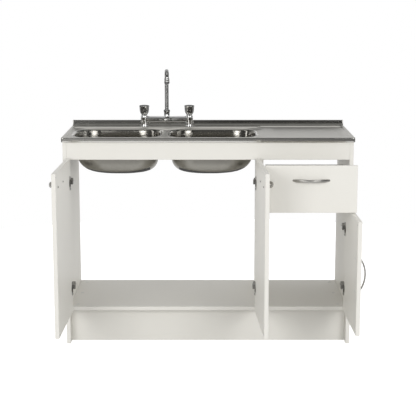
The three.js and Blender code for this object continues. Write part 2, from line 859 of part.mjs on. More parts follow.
function sinkDeck() {
  const bowlField = {
    ...inset(sinkFrame, fieldBorder), right: rightBowlEnd + fieldBehindBowls, back: ledgeStep,
  };
  const drainField = {
    ...inset(sinkFrame, fieldBorder),
    left: bowlField.right - drainFieldOverlap,
    back: drainFieldBack,
  };
  const press = (extra) => {
    const floor = fieldTop - extra;
    const top = deckTop - extra;
    const height = extra + through;
    const tray = inset(trayFrame, -extra);
    return join(
      pressing(inset(bowlField, -extra), fieldCorner, floor, fieldSlope, top, height),
      pressing(inset(drainField, -extra), fieldCorner, floor, fieldSlope, top, height),
      pressing(tray, trayCorner, floor - trayDrop, traySlope, floor, height + fieldDrop),
    );
  };
  const outer = cut(
    join(rolledBlock(sinkFrame, rimBottom, deckTop, rimCorner, rimRoll), upstandBlock(0)),
    press(0));
  const inside = inset(sinkFrame, steel);
  const mouth = inset(sinkFrame, rimReturn);
  const inner = join(
    rolledBlock(inside, rimBottom + steel, deckTop - steel, rimCorner, rimRoll - steel),
    upstandBlock(steel),
    pressing(mouth, rimCorner, rimBottom - through, 0, rimBottom, steel + 2 * through));
  const hollow = cut(inner, press(steel));
  const holes = Object.values(bowlFrames).map((frame) => {
    const hole = inset(frame, -(bowlRoll + bowlLip + seat));
    const corner = bowlCorner + bowlRoll + bowlLip + seat;
    return pressing(hole, corner, fieldTop - 2 * steel, 0, fieldTop, fieldDrop);
  });
  const tapHoles = [-1, 1].map((side) => {
    const x = tapX + side * tapSpread / 2;
    return upright(tapHoleRadius, deckTop - 2 * steel, deckTop + through, x, tapY);
  });
  return piece('sink_deck', cut(outer, hollow, ...holes, ...tapHoles), brushedSteel);
}

// Bowl pressed from one sheet: rolled lip, drafted walls, rounded floor that falls to the waste.
// Its outer end wall leans out more and turns into the floor on a larger radius, and its upright
// corners open out towards the floor.
function sinkBowl(name, frame, outerSide) {
  const floor = fieldTop - bowlDepth;
  const inner = [innerWallDraft, innerFloorRadius];
  const long = [innerWallDraft, longFloorRadius];
  const walls = { left: inner, right: inner, front: long, back: long };
  walls[outerSide] = [outerWallDraft, outerFloorRadius];
  const wallInset = ([draft, radius], z, thick) => {
    const belowCentre = floor + radius - z;
    if (belowCentre <= 0) return draft * (fieldTop - z) - thick;
    const reach = radius + thick;
    const run = Math.sqrt(Math.max(reach * reach - belowCentre * belowCentre, 0));
    return draft * (bowlDepth - radius) + radius - run;
  };
  const ringAt = (z, thick) => {
    const insets = Object.fromEntries(
      Object.entries(walls).map(([wall, shape]) => [wall, wallInset(shape, z, thick)]));
    const ring = {
      left: frame.left + insets.left,
      right: frame.right - insets.right,
      front: frame.front + insets.front,
      back: frame.back - insets.back,
    };
    const deepness = (fieldTop - z) / bowlDepth;
    return roundedRing(ring, bowlCorner + (bowlFloorCorner - bowlCorner) * deepness, z);
  };
  const lipRing = (outward, z) => roundedRing(inset(frame, -outward), bowlCorner + outward, z);
  const wasteRing = (z) => {
    const middle = { x: (frame.left + frame.right) / 2, y: (frame.front + frame.back) / 2 };
    return roundedRing({
      left: middle.x - wasteRadius,
      right: middle.x + wasteRadius,
      front: middle.y - wasteRadius,
      back: middle.y + wasteRadius,
    }, wasteRadius - hairline, z);
  };
  // One side of the sheet, from the waste up to the lip.
  const surface = (thick) => {
    const rings = [wasteRing(floor - floorFall - thick)];
    const floorSteps = 5;
    for (let i = floorSteps; i >= 0; i -= 1) {
      const angle = i / floorSteps * Math.PI / 2;
      const drop = (outerFloorRadius + thick) * Math.sin(angle);
      rings.push(ringAt(floor + outerFloorRadius - drop, thick));
    }
    const rollSteps = 3;
    for (let i = rollSteps; i >= 0; i -= 1) {
      const angle = i / rollSteps * Math.PI / 2;
      const radius = bowlRoll - thick;
      const height = fieldTop - bowlRoll + radius * Math.cos(angle);
      rings.push(lipRing(bowlRoll - radius * Math.sin(angle), height));
    }
    rings.push(lipRing(bowlRoll + bowlLip, fieldTop - thick));
    return rings;
  };
  return piece(name, skin([...surface(steel), ...surface(0).reverse()], true), brushedSteel);
}

function sink() {
  const group = new THREE.Group();
  group.add(
    sinkDeck(),
    sinkBowl('left_bowl', bowlFrames.left, 'left'),
    sinkBowl('right_bowl', bowlFrames.right, 'right'),
  );
  return group;
}

// ---------- mixer tap ----------

// Heights are above the deck.
function tapBody() {
  const footTop = seat + pillarFootHeight;
  const pillar = (x) => turned([
    [0, -tailLength],
    [tailRadius, -tailLength],
    [tailRadius, seat],
    [pillarFootRadius, seat],
    [pillarFootRadius, footTop],
    [pillarRadius, footTop + pillarFootChamfer],
    [pillarRadius, pillarHeight],
    [0, pillarHeight],
  ], 24).translate(x, 0, 0);
  const length = tapSpread;
  const bar = extruded(roundedRectangle(barHeight, barDepth, barCorner), length, 4)
    .rotateY(Math.PI / 2)
    .translate(-length / 2, 0, barAboveDeck + barHeight / 2);
  const barTop = barAboveDeck + barHeight;
  const socket = upright(socketRadius, barTop - barHeight / 2, barTop + socketHeight, 0, 0, 28);
  const socketTop = barTop + socketHeight;
  const bore = upright(
    spoutRadius + seat, socketTop - spoutSeatDepth, socketTop + through, 0, 0, 28);
  const casting = join(bar, socket, pillar(-tapSpread / 2), pillar(tapSpread / 2));
  return piece('tap_body', cut(casting, bore), chrome);
}

function backNut(name, x) {
  const top = -steel - seat;
  const ring = new THREE.CylinderGeometry(
    backNutAcross / Math.sqrt(3), backNutAcross / Math.sqrt(3), backNutHeight, 6)
    .rotateX(Math.PI / 2).translate(0, 0, top - backNutHeight / 2);
  const bore = upright(tailRadius + seat, top - backNutHeight - through, top + through, 0, 0, 28);
  return piece(name, cut(ring, bore), brass, x, 0, 0);
}

function bonnet(name, x) {
  const base = pillarHeight + seat;
  const top = base + bonnetHeight;
  return piece(name, turned([
    [0, base],
    [bonnetRadius, base],
    [bonnetRadius, base + bonnetHeight / 3],
    [bonnetTopRadius, top],
    [spindleRadius, top],
    [spindleRadius, top + spindleHeight],
    [0, top + spindleHeight],
  ], 24), chrome, x, 0, 0);
}

// Ring of points round +Z, scalloped by the knob's flutes.
function flutedRing(radius, depth, z) {
  const count = knobFlutes * pointsPerFlute;
  return Array.from({ length: count }, (_, i) => {
    const angle = i / count * Math.PI * 2;
    const reach = radius - depth * (1 - Math.cos(knobFlutes * angle)) / 2;
    return [reach * Math.cos(angle), reach * Math.sin(angle), z];
  });
}

function knob(name, x) {
  const base = pillarHeight + bonnetHeight + 2 * seat;
  const shoulder = knobHeight - knobDome;
  const grip = skin([
    flutedRing(knobFootRadius - knobFootChamfer, 0, 0),
    flutedRing(knobFootRadius, knobFluteDepth / 2, knobFootChamfer),
    flutedRing(knobTopRadius - knobRimStep, knobFluteDepth, shoulder - knobRim),
    flutedRing(knobTopRadius, knobFluteDepth / 2, shoulder),
    flutedRing(knobTopRadius - knobEase, 0, shoulder + knobDome / 2),
    flutedRing(knobCrownRadius, 0, knobHeight),
  ], false);
  const socket = upright(spindleRadius + seat, -through, spindleHeight + seat, 0, 0, 16);
  return piece(name, cut(grip, socket), chrome, x, 0, base);
}

// Quarter circle as one cubic curve.
function quarterBend(from, corner, to) {
  const pull = 4 / 3 * (Math.SQRT2 - 1);
  return new THREE.CubicBezierCurve3(
    from, from.clone().lerp(corner, pull), to.clone().lerp(corner, pull), to);
}

function spoutPath() {
  const foot = barAboveDeck + barHeight + socketHeight - spoutSeatDepth + seat;
  const crown = spoutRiserTop + spoutBackBend;
  const bendStart = spoutReach - spoutFrontBend;
  const bendEnd = crown - spoutFrontBend;
  const tip = bendEnd - aeratorOverlap - seat;
  const at = (forward, height) => new THREE.Vector3(0, -forward, height);
  const path = new THREE.CurvePath();
  path.add(new THREE.LineCurve3(at(0, foot), at(0, spoutRiserTop)));
  path.add(quarterBend(at(0, spoutRiserTop), at(0, crown), at(spoutBackBend, crown)));
  path.add(new THREE.LineCurve3(at(spoutBackBend, crown), at(bendStart, crown)));
  path.add(quarterBend(at(bendStart, crown), at(spoutReach, crown), at(spoutReach, bendEnd)));
  path.add(new THREE.LineCurve3(at(spoutReach, bendEnd), at(spoutReach, tip)));
  return { path, tip };
}

function spout() {
  const section = new THREE.Shape();
  section.absarc(0, 0, spoutRadius, 0, Math.PI * 2);
  const { path, tip } = spoutPath();
  const tube = new THREE.ExtrudeGeometry(section, {
    steps: spoutSteps,
    extrudePath: path,
    curveSegments: spoutSides / 2,
    bevelEnabled: false,
  });
  const collarTop = tip + aeratorOverlap;
  const collarBottom = collarTop - aeratorLength;
  const sleeve = spoutRadius + seat;
  const aerator = turned([
    [aeratorBore, collarBottom],
    [aeratorRadius - aeratorEase, collarBottom],
    [aeratorRadius, collarBottom + aeratorEase],
    [aeratorRadius, collarTop - aeratorShoulder],
    [aeratorRadius - aeratorEase, collarTop],
    [sleeve, collarTop],
    [sleeve, tip - seat],
    [aeratorBore, tip - seat],
    [aeratorBore, collarBottom],
  ], 24);
  const group = new THREE.Group();
  group.add(
    piece('spout', tube, chrome),
    piece('aerator', aerator, chrome, 0, -spoutReach, 0));
  group.rotation.z = THREE.MathUtils.degToRad(spoutYaw);
  return group;
}

function spoutNut() {
  const base = barAboveDeck + barHeight + socketHeight + seat;
  const top = base + spoutNutHeight;
  const sleeve = spoutRadius + seat;
  return piece('spout_nut', turned([
    [sleeve, base],
    [socketRadius, base],
    [socketRadius - spoutNutFootTaper, base + spoutNutFoot],
    [spoutNutRadius, top - spoutNutCrown - spoutNutBand],
    [spoutNutRadius, top - spoutNutCrown],
    [sleeve + spoutNutLip, top],
    [sleeve, top],
    [sleeve, base],
  ], 20), chrome);
}

function mixerTap() {
  const group = new THREE.Group();
  const half = tapSpread / 2;
  group.add(
    tapBody(),
    backNut('left_back_nut', -half),
    backNut('right_back_nut', half),
    bonnet('left_bonnet', -half),
    bonnet('right_bonnet', half),
    knob('left_knob', -half),
    knob('right_knob', half),
    spoutNut(),
    spout(),
  );
  group.position.set(tapX, tapY, deckTop);
  return group;
}

// ---------- the whole unit ----------

const unit = new THREE.Group();
unit.add(cabinet(), doors(), drawer(), runners(), sink(), mixerTap());
// The origin is on the floor under the middle of the kickboard.
unit.position.y = -(plinthRecess + board / 2);

export default unit;
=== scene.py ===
"""Kitchen sink unit, dressed for its picture.

A white board cabinet with open doors and a pulled-out drawer, a pressed steel sit-on sink with two
bowls and a drainer, and a chrome two-knob mixer tap. Shapes are drawn in millimetres, with Y = 0
at the front plane of the cabinet's boards, and made into metres round the frame's origin, which is
on the floor under the kickboard, as they are placed.
"""
import math
import bmesh
import bpy
from mathutils import Matrix, Vector


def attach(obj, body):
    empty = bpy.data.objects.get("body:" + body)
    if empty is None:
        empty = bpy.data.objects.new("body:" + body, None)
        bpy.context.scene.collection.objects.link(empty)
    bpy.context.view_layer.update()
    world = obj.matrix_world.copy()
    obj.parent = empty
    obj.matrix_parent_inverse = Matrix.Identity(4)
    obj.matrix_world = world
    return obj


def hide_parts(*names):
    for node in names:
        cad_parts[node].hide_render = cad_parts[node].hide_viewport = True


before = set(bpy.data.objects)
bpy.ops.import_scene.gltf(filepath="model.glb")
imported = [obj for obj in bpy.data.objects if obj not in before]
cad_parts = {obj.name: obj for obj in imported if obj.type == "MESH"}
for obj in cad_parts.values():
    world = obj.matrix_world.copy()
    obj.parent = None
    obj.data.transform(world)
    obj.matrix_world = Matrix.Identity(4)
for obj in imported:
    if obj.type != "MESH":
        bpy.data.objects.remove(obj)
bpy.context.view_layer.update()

MM = 0.001
FRONT_PLANE = -58.0  # the boards' front plane, from the frame's origin
IN_PLACE = Matrix.Scale(MM, 4) @ Matrix.Translation((0, FRONT_PLANE, 0))

# ---------- sizes, as the cabinet and sink are made ----------

SINK_LEFT, SINK_RIGHT, SINK_FRONT, SINK_BACK = -600.0, 600.0, -10.0, 450.0
RIM_BOTTOM = 855.3
DECK_TOP = 875.3
FIELD_TOP = 872.3
TRAY_FLOOR = 869.3
STEEL = 1.2
RIM_ROLL = 4.0
RIM_CORNER = 8.0
RIM_RETURN = 18.0
FIELD_BORDER = 12.0
FIELD_SLOPE = 4.0
FIELD_CORNER = 14.0
LEDGE_STEP = 352.0
LEDGE_END = 222.0  # where the tap ledge gives way to the drainer's field
DRAIN_FIELD_BACK = 388.0
TRAY = (262.0, 572.0, 22.0, 376.0)
TRAY_CORNER = 44.0
TRAY_SLOPE = 30.0
UPSTAND_TOP = 895.3
UPSTAND_FACE = 440.0
UPSTAND_COVE = 7.0
UPSTAND_ROLL = 2.2

BOWLS = {"left": (-557.0, -205.0, 18.0, 304.0), "right": (-156.0, 196.0, 18.0, 304.0)}
BOWL_CORNER = 92.0
BOWL_FLOOR_CORNER = 94.0
BOWL_ROLL = 10.0
BOWL_LIP = 2.0
BOWL_DEPTH = 155.0
# lean and floor radius of a bowl's outer end, inner end and long sides
OUTER_END = (0.12, 85.0)
INNER_END = (0.05, 58.0)
LONG_SIDE = (0.05, 46.0)
FLOOR_FALL = 4.0
WASTE_RADIUS = 30.0

TAP_PLACE = Matrix.Translation((-180.5, 375.0, DECK_TOP))
TAP_HALF = 98.5  # from the middle of the tap to either pillar
SPOUT_REACH = 200.0
SPOUT_FOOT = 34.6
SPOUT_TIP = 211.8
SPOUT_PLACE = TAP_PLACE @ Matrix.Rotation(math.radians(2.3), 4, "Z")
TIP_PLACE = SPOUT_PLACE @ Matrix.Translation((0, -SPOUT_REACH, 0))
PIPE_RADIUS = 8.5
BEND_FROM = 188.0  # where the pipe's back bend starts
BACK_BEND = 57.0
FRONT_BEND = 19.0
PIPE_TOP = BEND_FROM + BACK_BEND

BOARD_FACE = {"left": -579.0, "middle": 210.5, "right": 579.0}
DRAWER_RUNNER_FACES = ((226.5, 1), (579.0, -1))  # with the way that each looks
DOORS = {
    # side, opening in degrees, hinge edge, width, hinge heights
    "left": (-1, 91.3, 7.0, 401.0, (691.0, 248.0)),
    "middle": (1, 92.9, 6.5, 401.0, (691.0, 248.0)),
    "right": (1, 91.3, 7.0, 363.5, (500.0, 248.0)),
}
PIVOT_Y = -18.5
DOOR_FACE = 0.5  # a door's outer face, from its pivot
FRONT_THICKNESS = 16.0
DOOR_INSIDE = DOOR_FACE + FRONT_THICKNESS
DRAWER_MIDDLE, DRAWER_FACE = 405.25, -268.0 - FRONT_PLANE
HANDLE_ROW = 732.0
HANDLE_SCREWS = (-64.0, 64.0)  # from a handle's middle

HANDS = {"left": -1, "right": 1}


# ---------- shaping ----------

def turned_left(vector, angle):
    """A vector in plan, turned to the left."""
    return Matrix.Rotation(angle, 2) @ vector


def outline(corners, inward=0.0, steps=12, guard=3.0):
    """Points round a square-cornered plan whose corners, (x, y, radius), are rounded. The whole
    outline is pushed in by inward. guard sets one more point in each straight beside a corner."""
    points = []
    for i, (x, y, radius) in enumerate(corners):
        here = Vector((x, y))
        coming = (here - Vector(corners[i - 1][:2])).normalized()
        going = (Vector(corners[(i + 1) % len(corners)][:2]) - here).normalized()
        turn = 1 if coming.cross(going) > 0 else -1
        side_in, side_out = Vector((-coming.y, coming.x)), Vector((-going.y, going.x))
        reach = radius - turn * inward
        centre = here + (inward + turn * reach) * (side_in + side_out)
        arc = [
            centre + turned_left(-turn * reach * side_in, turn * math.pi / 2 * k / steps)
            for k in range(steps + 1)
        ]
        points += [arc[0] - guard * coming, *arc, arc[-1] + guard * going]
    return points


def box_corners(left, right, front, back, radius):
    return [(left, front, radius), (right, front, radius), (right, back, radius),
            (left, back, radius)]


def at_height(points, z):
    return [(p[0], p[1], z) for p in points]


def eased(t):
    """0 to 1 with level ends, as sheet bends over a pressing's edge."""
    return (1 - math.cos(math.pi * t)) / 2


def quarter(steps):
    """The angles of a quarter turn."""
    return [math.pi / 2 * k / steps for k in range(steps + 1)]


class Form:
    """A shape under construction, in millimetres."""

    def __init__(self):
        self.mesh = bmesh.new()

    def ring(self, points):
        return [self.mesh.verts.new(point) for point in points]

    def band(self, first, second):
        for i in range(len(first)):
            j = (i + 1) % len(first)
            self.mesh.faces.new((first[i], first[j], second[j], second[i]))

    def loft(self, rings, joined=False, capped=False):
        """Skins the rings one after another; joined runs from the last back to the first, and
        capped closes both ends."""
        made = [self.ring(points) for points in rings]
        for first, second in zip(made, made[1:]):
            self.band(first, second)
        if joined:
            self.band(made[-1], made[0])
        if capped:
            self.mesh.faces.new(made[0])
            self.mesh.faces.new(made[-1])
        return made

    def fill(self, *rings):
        """A flat face between an outer ring and the holes in it."""
        edges = []
        for ring in rings:
            for i, vertex in enumerate(ring):
                other = ring[(i + 1) % len(ring)]
                edge = self.mesh.edges.get((vertex, other)) or self.mesh.edges.new((vertex, other))
                edges.append(edge)
        bmesh.ops.triangle_fill(
            self.mesh, use_beauty=True, use_dissolve=False, edges=edges, normal=(0, 0, 1))

    def turn(self, profile, sides, centre=(0, 0), capped=True):
        """Turns [radius, height] points about an upright axis."""
        rings = []
        for radius, height in profile:
            ring = [on_circle(radius, k, sides) for k in range(sides)]
            rings.append([(centre[0] + x, centre[1] + y, height) for x, y in ring])
        self.loft(rings, capped=capped)

    def move(self, matrix):
        bmesh.ops.transform(self.mesh, matrix=matrix, verts=self.mesh.verts)

    def made(self, name):
        """The form as a plain mesh."""
        data = bpy.data.meshes.new(name)
        self.mesh.to_mesh(data)
        self.mesh.free()
        return data


def softened(profile, ease, steps=3):
    """A turning profile with its corners rounded by ease."""
    rounded = [profile[0]]
    for before, here, after in zip(profile, profile[1:], profile[2:]):
        here_v = Vector(here)
        back, on = Vector(before) - here_v, Vector(after) - here_v
        start = here_v + back.normalized() * min(ease, back.length * 0.45)
        end = here_v + on.normalized() * min(ease, on.length * 0.45)
        for k in range(steps + 1):
            t = k / steps
            rounded.append(tuple(
                (1 - t) ** 2 * start + 2 * t * (1 - t) * here_v + t * t * end))
    rounded.append(profile[-1])
    return rounded


def on_circle(radius, k, steps):
    """The point k steps round a circle."""
    angle = math.tau * k / steps
    return radius * math.cos(angle), radius * math.sin(angle)


def piece(name, form, body, finish, nodes=(), slot=None, sharp=40.0, upward=False):
    """Makes the form a piece that rides on body and stands for the frame's nodes. upward is for
    an open sheet, which is turned so that it faces up."""
    mesh = form.mesh
    bmesh.ops.remove_doubles(mesh, verts=mesh.verts, dist=0.002)
    bmesh.ops.recalc_face_normals(mesh, faces=mesh.faces)
    if upward and sum(face.normal.z * face.calc_area() for face in mesh.faces) < 0:
        bmesh.ops.reverse_faces(mesh, faces=mesh.faces)
    form.move(IN_PLACE)
    return dressed(name, form.made(name), body, finish, nodes, sharp)


def dressed(name, data, body, finish, nodes=(), sharp=40.0):
    """Puts a finished mesh in the scene with its finish, on its body."""
    data.shade_smooth()
    data.set_sharp_from_angle(angle=math.radians(sharp))
    data.materials.clear()
    data.materials.append(finish)
    made = bpy.data.objects.new(name, data)
    bpy.context.scene.collection.objects.link(made)
    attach(made, body)
    if nodes:
        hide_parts(*nodes)
    return made


def turned(name, profile, sides, place, *looks, capped=True, **more):
    """Makes a piece of one turned profile. looks are its body, finish, nodes and slot; the slot is
    not used.
    """
    form = Form()
    form.turn(profile, sides, capped=capped)
    form.move(place)
    piece(name, form, *looks, **more)


def thickened(sheet):
    """Gives an open sheet its thickness, behind the face that is drawn."""
    wall = sheet.modifiers.new("sheet", "SOLIDIFY")
    wall.thickness = STEEL * MM
    wall.offset = -1
    return wall


# ---------- nodes ----------

class Amount:
    """A number that changes over a surface, for use in plain arithmetic."""

    def __init__(self, nodes, socket):
        self.nodes = nodes
        self.socket = socket

    def _math(self, operation, first, second):
        made = self.nodes.node(
            "ShaderNodeMath", {"operation": operation}, {0: first, 1: second})
        return Amount(self.nodes, made.outputs[0])

    def __add__(self, other):
        return self._math("ADD", self, other)

    def __sub__(self, other):
        return self._math("SUBTRACT", self, other)

    def __rsub__(self, other):
        return self._math("SUBTRACT", other, self)

    def __mul__(self, other):
        return self._math("MULTIPLY", self, other)

    def __truediv__(self, other):
        return self._math("DIVIDE", self, other)

    def __gt__(self, other):
        return self._math("GREATER_THAN", self, other)

    def __lt__(self, other):
        return self._math("LESS_THAN", self, other)

    def __abs__(self):
        return self._math("ABSOLUTE", self, 0.0)

    def lesser(self, other):
        return self._math("MINIMUM", self, other)

    def held(self):
        """Kept between 0 and 1."""
        return self._math("MAXIMUM", self, 0.0).lesser(1.0)

    __radd__ = __add__
    __rmul__ = __mul__


class Nodes:
    """A node tree under construction."""

    def __init__(self, tree):
        self.tree = tree
        tree.nodes.clear()

    def node(self, kind, settings=None, sockets=None):
        """Adds a node: first its settings, then the values or links of its sockets. A list holds
        the links of a socket that takes many."""
        made = self.tree.nodes.new(kind)
        for key, value in (settings or {}).items():
            if key == "stops":
                self._stops(made.color_ramp.elements, value)
            else:
                setattr(made, key, value)
        for key, values in (sockets or {}).items():
            for value in values if isinstance(values, list) else [values]:
                if isinstance(value, Amount):
                    value = value.socket
                if isinstance(value, bpy.types.NodeSocket):
                    self.tree.links.new(value, made.inputs[key])
                else:
                    made.inputs[key].default_value = value
        return made

    @staticmethod
    def _stops(elements, stops):
        while len(elements) < len(stops):
            elements.new(0.5)
        for element, (position, colour) in zip(elements, stops):
            element.position = position
            element.color = colour


class Finish(Nodes):
    """The nodes of a material, or of the world."""

    def __init__(self, owner):
        owner.use_nodes = True
        super().__init__(owner.node_tree)
        self.owner = owner

    def place(self):
        """Where a point of the piece is, in metres, as a vector."""
        return self.node("ShaderNodeTexCoord").outputs["Object"]

    def axes(self, vector=None):
        """The three parts of a vector, or of the place."""
        split = self.node("ShaderNodeSeparateXYZ", None, {0: vector or self.place()})
        return [Amount(self, split.outputs[axis]) for axis in "XYZ"]

    def noise(self, scale, detail=2.0, roughness=0.5, stretch=None):
        """Noise on the place, which stretch scales along each axis, so that it runs in streaks."""
        vector = self.place()
        if stretch:
            vector = self.node(
                "ShaderNodeMapping", None, {"Vector": vector, "Scale": stretch}).outputs["Vector"]
        made = self.node("ShaderNodeTexNoise", {"noise_dimensions": "3D"}, {
            "Vector": vector, "Scale": scale, "Detail": detail, "Roughness": roughness})
        return Amount(self, made.outputs["Fac"])

    def ramp(self, amount, stops):
        """A mask from an amount, as (position, value) stops."""
        grey = [(position, (value, value, value, 1)) for position, value in stops]
        made = self.node("ShaderNodeValToRGB", {"stops": grey}, {"Fac": amount})
        return Amount(self, made.outputs["Color"])

    def colours(self, mask, first, second):
        """first where the mask is 0, second where it is 1. A colour is a tuple or a socket."""
        sockets = {0: mask}
        for key, value in ((6, first), (7, second)):
            sockets[key] = (*value, 1) if isinstance(value, tuple) else value
        return self.node("ShaderNodeMix", {"data_type": "RGBA"}, sockets).outputs[2]

    def bumped(self, height, distance, strength):
        return self.node("ShaderNodeBump", None, {
            "Height": height, "Distance": distance, "Strength": strength}).outputs["Normal"]

    def rays(self):
        """Whether a point is seen by the camera, and whether it is seen in a mirror."""
        path = self.node("ShaderNodeLightPath").outputs
        return [Amount(self, path[f"Is {kind} Ray"]) for kind in ("Camera", "Glossy")]

    def coat(self, **sockets):
        """Ends the material with its shader, and returns the material."""
        named = {}
        for key, value in sockets.items():
            colour = isinstance(value, tuple) and len(value) == 3
            named[key.replace("_", " ")] = (*value, 1) if colour else value
        self.shown(self.node("ShaderNodeBsdfPrincipled", None, named))
        return self.owner

    def shown(self, shader, kind="ShaderNodeOutputMaterial"):
        self.node(kind, None, {"Surface": shader.outputs[0]})


class Growth(Nodes):
    """A Geometry Nodes tree with named inputs, as (name, kind, value)."""

    def __init__(self, name, inputs):
        super().__init__(bpy.data.node_groups.new(name, "GeometryNodeTree"))
        face = self.tree.interface
        for key, kind, value in [*inputs, ("Finish", "Material", None)]:
            socket = face.new_socket(key, in_out="INPUT", socket_type="NodeSocket" + kind)
            if value is not None:
                socket.default_value = value
        face.new_socket("Shape", in_out="OUTPUT", socket_type="NodeSocketGeometry")
        self.given = self.node("NodeGroupInput").outputs

    def ended(self, shape):
        """Makes the shape plain mesh with its finish, and returns the tree."""
        real = self.node("GeometryNodeRealizeInstances", None, {"Geometry": shape})
        paint = self.node("GeometryNodeSetMaterial", None, {
            "Geometry": real.outputs["Geometry"], "Material": self.given["Finish"]})
        self.node("NodeGroupOutput", None, {"Shape": paint.outputs["Geometry"]})
        return self.tree


def grown(name, tree, points, edges, values, attributes=None):
    """Runs a tree on a line or set of points and returns the plain mesh that it makes."""
    seed = bpy.data.meshes.new(name + "_points")
    seed.from_pydata(points, edges, [])
    for key, (kind, column) in (attributes or {}).items():
        layer = seed.attributes.new(key, kind, "POINT")
        field = "vector" if kind == "FLOAT_VECTOR" else "value"
        for item, value in zip(layer.data, column):
            setattr(item, field, value)
    holder = bpy.data.objects.new(name + "_points", seed)
    bpy.context.scene.collection.objects.link(holder)
    modifier = holder.modifiers.new("nodes", "NODES")
    modifier.node_group = tree
    identifiers = {item.name: item.identifier for item in tree.interface.items_tree
                   if item.in_out == "INPUT"}
    for key, value in values.items():
        modifier[identifiers[key]] = value
    graph = bpy.context.evaluated_depsgraph_get()
    made = bpy.data.meshes.new_from_object(holder.evaluated_get(graph))
    made.name = name
    bpy.data.objects.remove(holder)
    return made


# ---------- finishes ----------

def white_melamine(name, raw_edges):
    """White melamine-faced chipboard. raw_edges lists (axis, height, above) for the cut edges
    that carry no edging strip: bare chipboard shows past that plane."""
    finish = Finish(bpy.data.materials.new(name))
    cloud = finish.noise(3.5, 2.0)
    pores = finish.noise(900.0, 1.0)
    skin = finish.colours(cloud, (0.775, 0.758, 0.708), (0.800, 0.784, 0.735))
    rough = 0.40 + 0.10 * finish.noise(60.0, 2.0)
    normal = finish.bumped(pores, 0.00006, 0.5)
    if not raw_edges:
        return finish.coat(Base_Color=skin, Roughness=rough, Normal=normal)
    chips = finish.noise(420.0, 4.0, 0.7)
    bare = finish.colours(
        finish.ramp(chips, [(0.35, 0.0), (0.65, 1.0)]), (0.30, 0.20, 0.115), (0.56, 0.43, 0.28))
    axes = dict(zip("XYZ", finish.axes()))
    mask = None
    for axis, height, above in raw_edges:
        past = axes[axis] > height if above else axes[axis] < height
        mask = past if mask is None else (mask + past).held()
    colour = finish.colours(mask, skin, bare)
    return finish.coat(Base_Color=colour, Roughness=rough + mask * 0.45, Normal=normal)


# painted light: a lighter copy of the steel's colour for the level faces, standing for their
# brighter reflection
LIT_LEVEL_STEEL = (0.655, 0.64, 0.595)


def from_middle(across):
    """How far along its bowl a point is, from 0 in the middle to 1 at the ends."""
    left_bowl, right_bowl = (
        abs(across - (left + right) / 2 * MM) / ((right - left) / 2 * MM)
        for left, right, _, _ in BOWLS.values())
    return left_bowl.lesser(right_bowl)


def brushed_sheet(name, light, dark, roughness, stretch, scatter, flat=0.0, drawn=False):
    """Stainless sheet polished with a belt. stretch is the pattern's scale along each axis, so that
    its fine lines run along the slow ones, and scatter is their depth in metres. flat is how much
    duller the level faces behind the front rim are; these faces also take a lighter colour, which
    is painted light: a brighter reflection than the front rim's. A drawn sheet has most grain round
    its corners."""
    finish = Finish(bpy.data.materials.new(name))
    lines = finish.noise(1.0, 3.0, 0.6, stretch)
    smears = finish.noise(9.0, 3.0, 0.55)
    colour = finish.colours(
        (0.55 * lines + 0.45 * smears).held(), dark, light)
    rough = roughness - 0.06 + 0.07 * lines + 0.05 * smears
    if flat:
        _, along, _ = finish.axes()
        level = along > (SINK_FRONT + RIM_ROLL + FRONT_PLANE) * MM
        rough = rough + flat * level
        # the level faces take the lighter colour: painted reflection
        colour = finish.colours(level, colour, LIT_LEVEL_STEEL)
    if drawn:
        across, _, _ = finish.axes()
        lines = lines * finish.ramp(from_middle(across), [(0.45, 0.5), (0.60, 1.0)])
    normal = finish.bumped(lines, scatter, 1.0)
    return finish.coat(Base_Color=colour, Metallic=1.0, Roughness=rough, Normal=normal)


def polished_chrome(name, light, dark, roughness, edge):
    """Plating over brass. edge tints what it mirrors at a flat angle: 1 is white."""
    finish = Finish(bpy.data.materials.new(name))
    haze = finish.noise(35.0, 3.0, 0.6)
    spots = finish.noise(260.0, 2.0)
    colour = finish.colours(haze, dark, light)
    rough = roughness + 0.05 * haze + 0.03 * spots
    normal = finish.bumped(finish.noise(60.0, 1.0), 0.0001, 0.25)
    return finish.coat(Base_Color=colour, Metallic=1.0, Roughness=rough, Normal=normal,
                       Specular_Tint=(edge, edge, edge))


def underside_with_painted_shade():
    """The bowls' outer skin: blasted steel, with painted shade under the floor: a near-black band,
    which reaches higher towards the bowls' ends and stops short of them, stands for the shadow and
    dark reflection along the bowls' bottom edge."""
    finish = Finish(bpy.data.materials.new("bowl_underside"))
    haze = finish.noise(60.0, 3.0, 0.6)
    across, _, up = finish.axes()
    end = from_middle(across)
    # painted shade: in a band along its bottom, the floor's underside turns near-black, rougher and
    # less metallic, standing for its shadow and dark reflection
    painted_shade = finish.ramp((up - 0.700) * 20.0 + 0.03 * haze - 0.52 * end * end,
                         [(0.525, 1.0), (0.56, 0.0)]) * (end < 0.80)
    steel = finish.colours(haze, (0.26, 0.25, 0.225), (0.315, 0.305, 0.275))
    colour = finish.colours(painted_shade, steel, (0.035, 0.035, 0.034))
    normal = finish.bumped(haze, 0.0001, 1.0)
    return finish.coat(Base_Color=colour, Metallic=1 - painted_shade, Normal=normal,
                       Roughness=0.30 + 0.08 * haze + 0.30 * painted_shade)


def satin_metal(name, light, dark, roughness):
    """Plated and lightly blasted metal."""
    finish = Finish(bpy.data.materials.new(name))
    haze = finish.noise(45.0, 3.0, 0.6)
    blast = finish.noise(1500.0, 1.0)
    colour = finish.colours(haze, dark, light)
    rough = roughness + 0.08 * haze + 0.05 * blast
    normal = finish.bumped(blast, 0.00003, 0.4)
    return finish.coat(Base_Color=colour, Metallic=1.0, Roughness=rough, Normal=normal)


def moulded(name, light, dark, roughness):
    """Moulded nylon or rubber."""
    finish = Finish(bpy.data.materials.new(name))
    cloud = finish.noise(80.0, 2.0)
    colour = finish.colours(cloud, dark, light)
    normal = finish.bumped(finish.noise(1100.0, 1.0), 0.00005, 0.4)
    return finish.coat(Base_Color=colour, Roughness=roughness + 0.1 * cloud, Normal=normal)


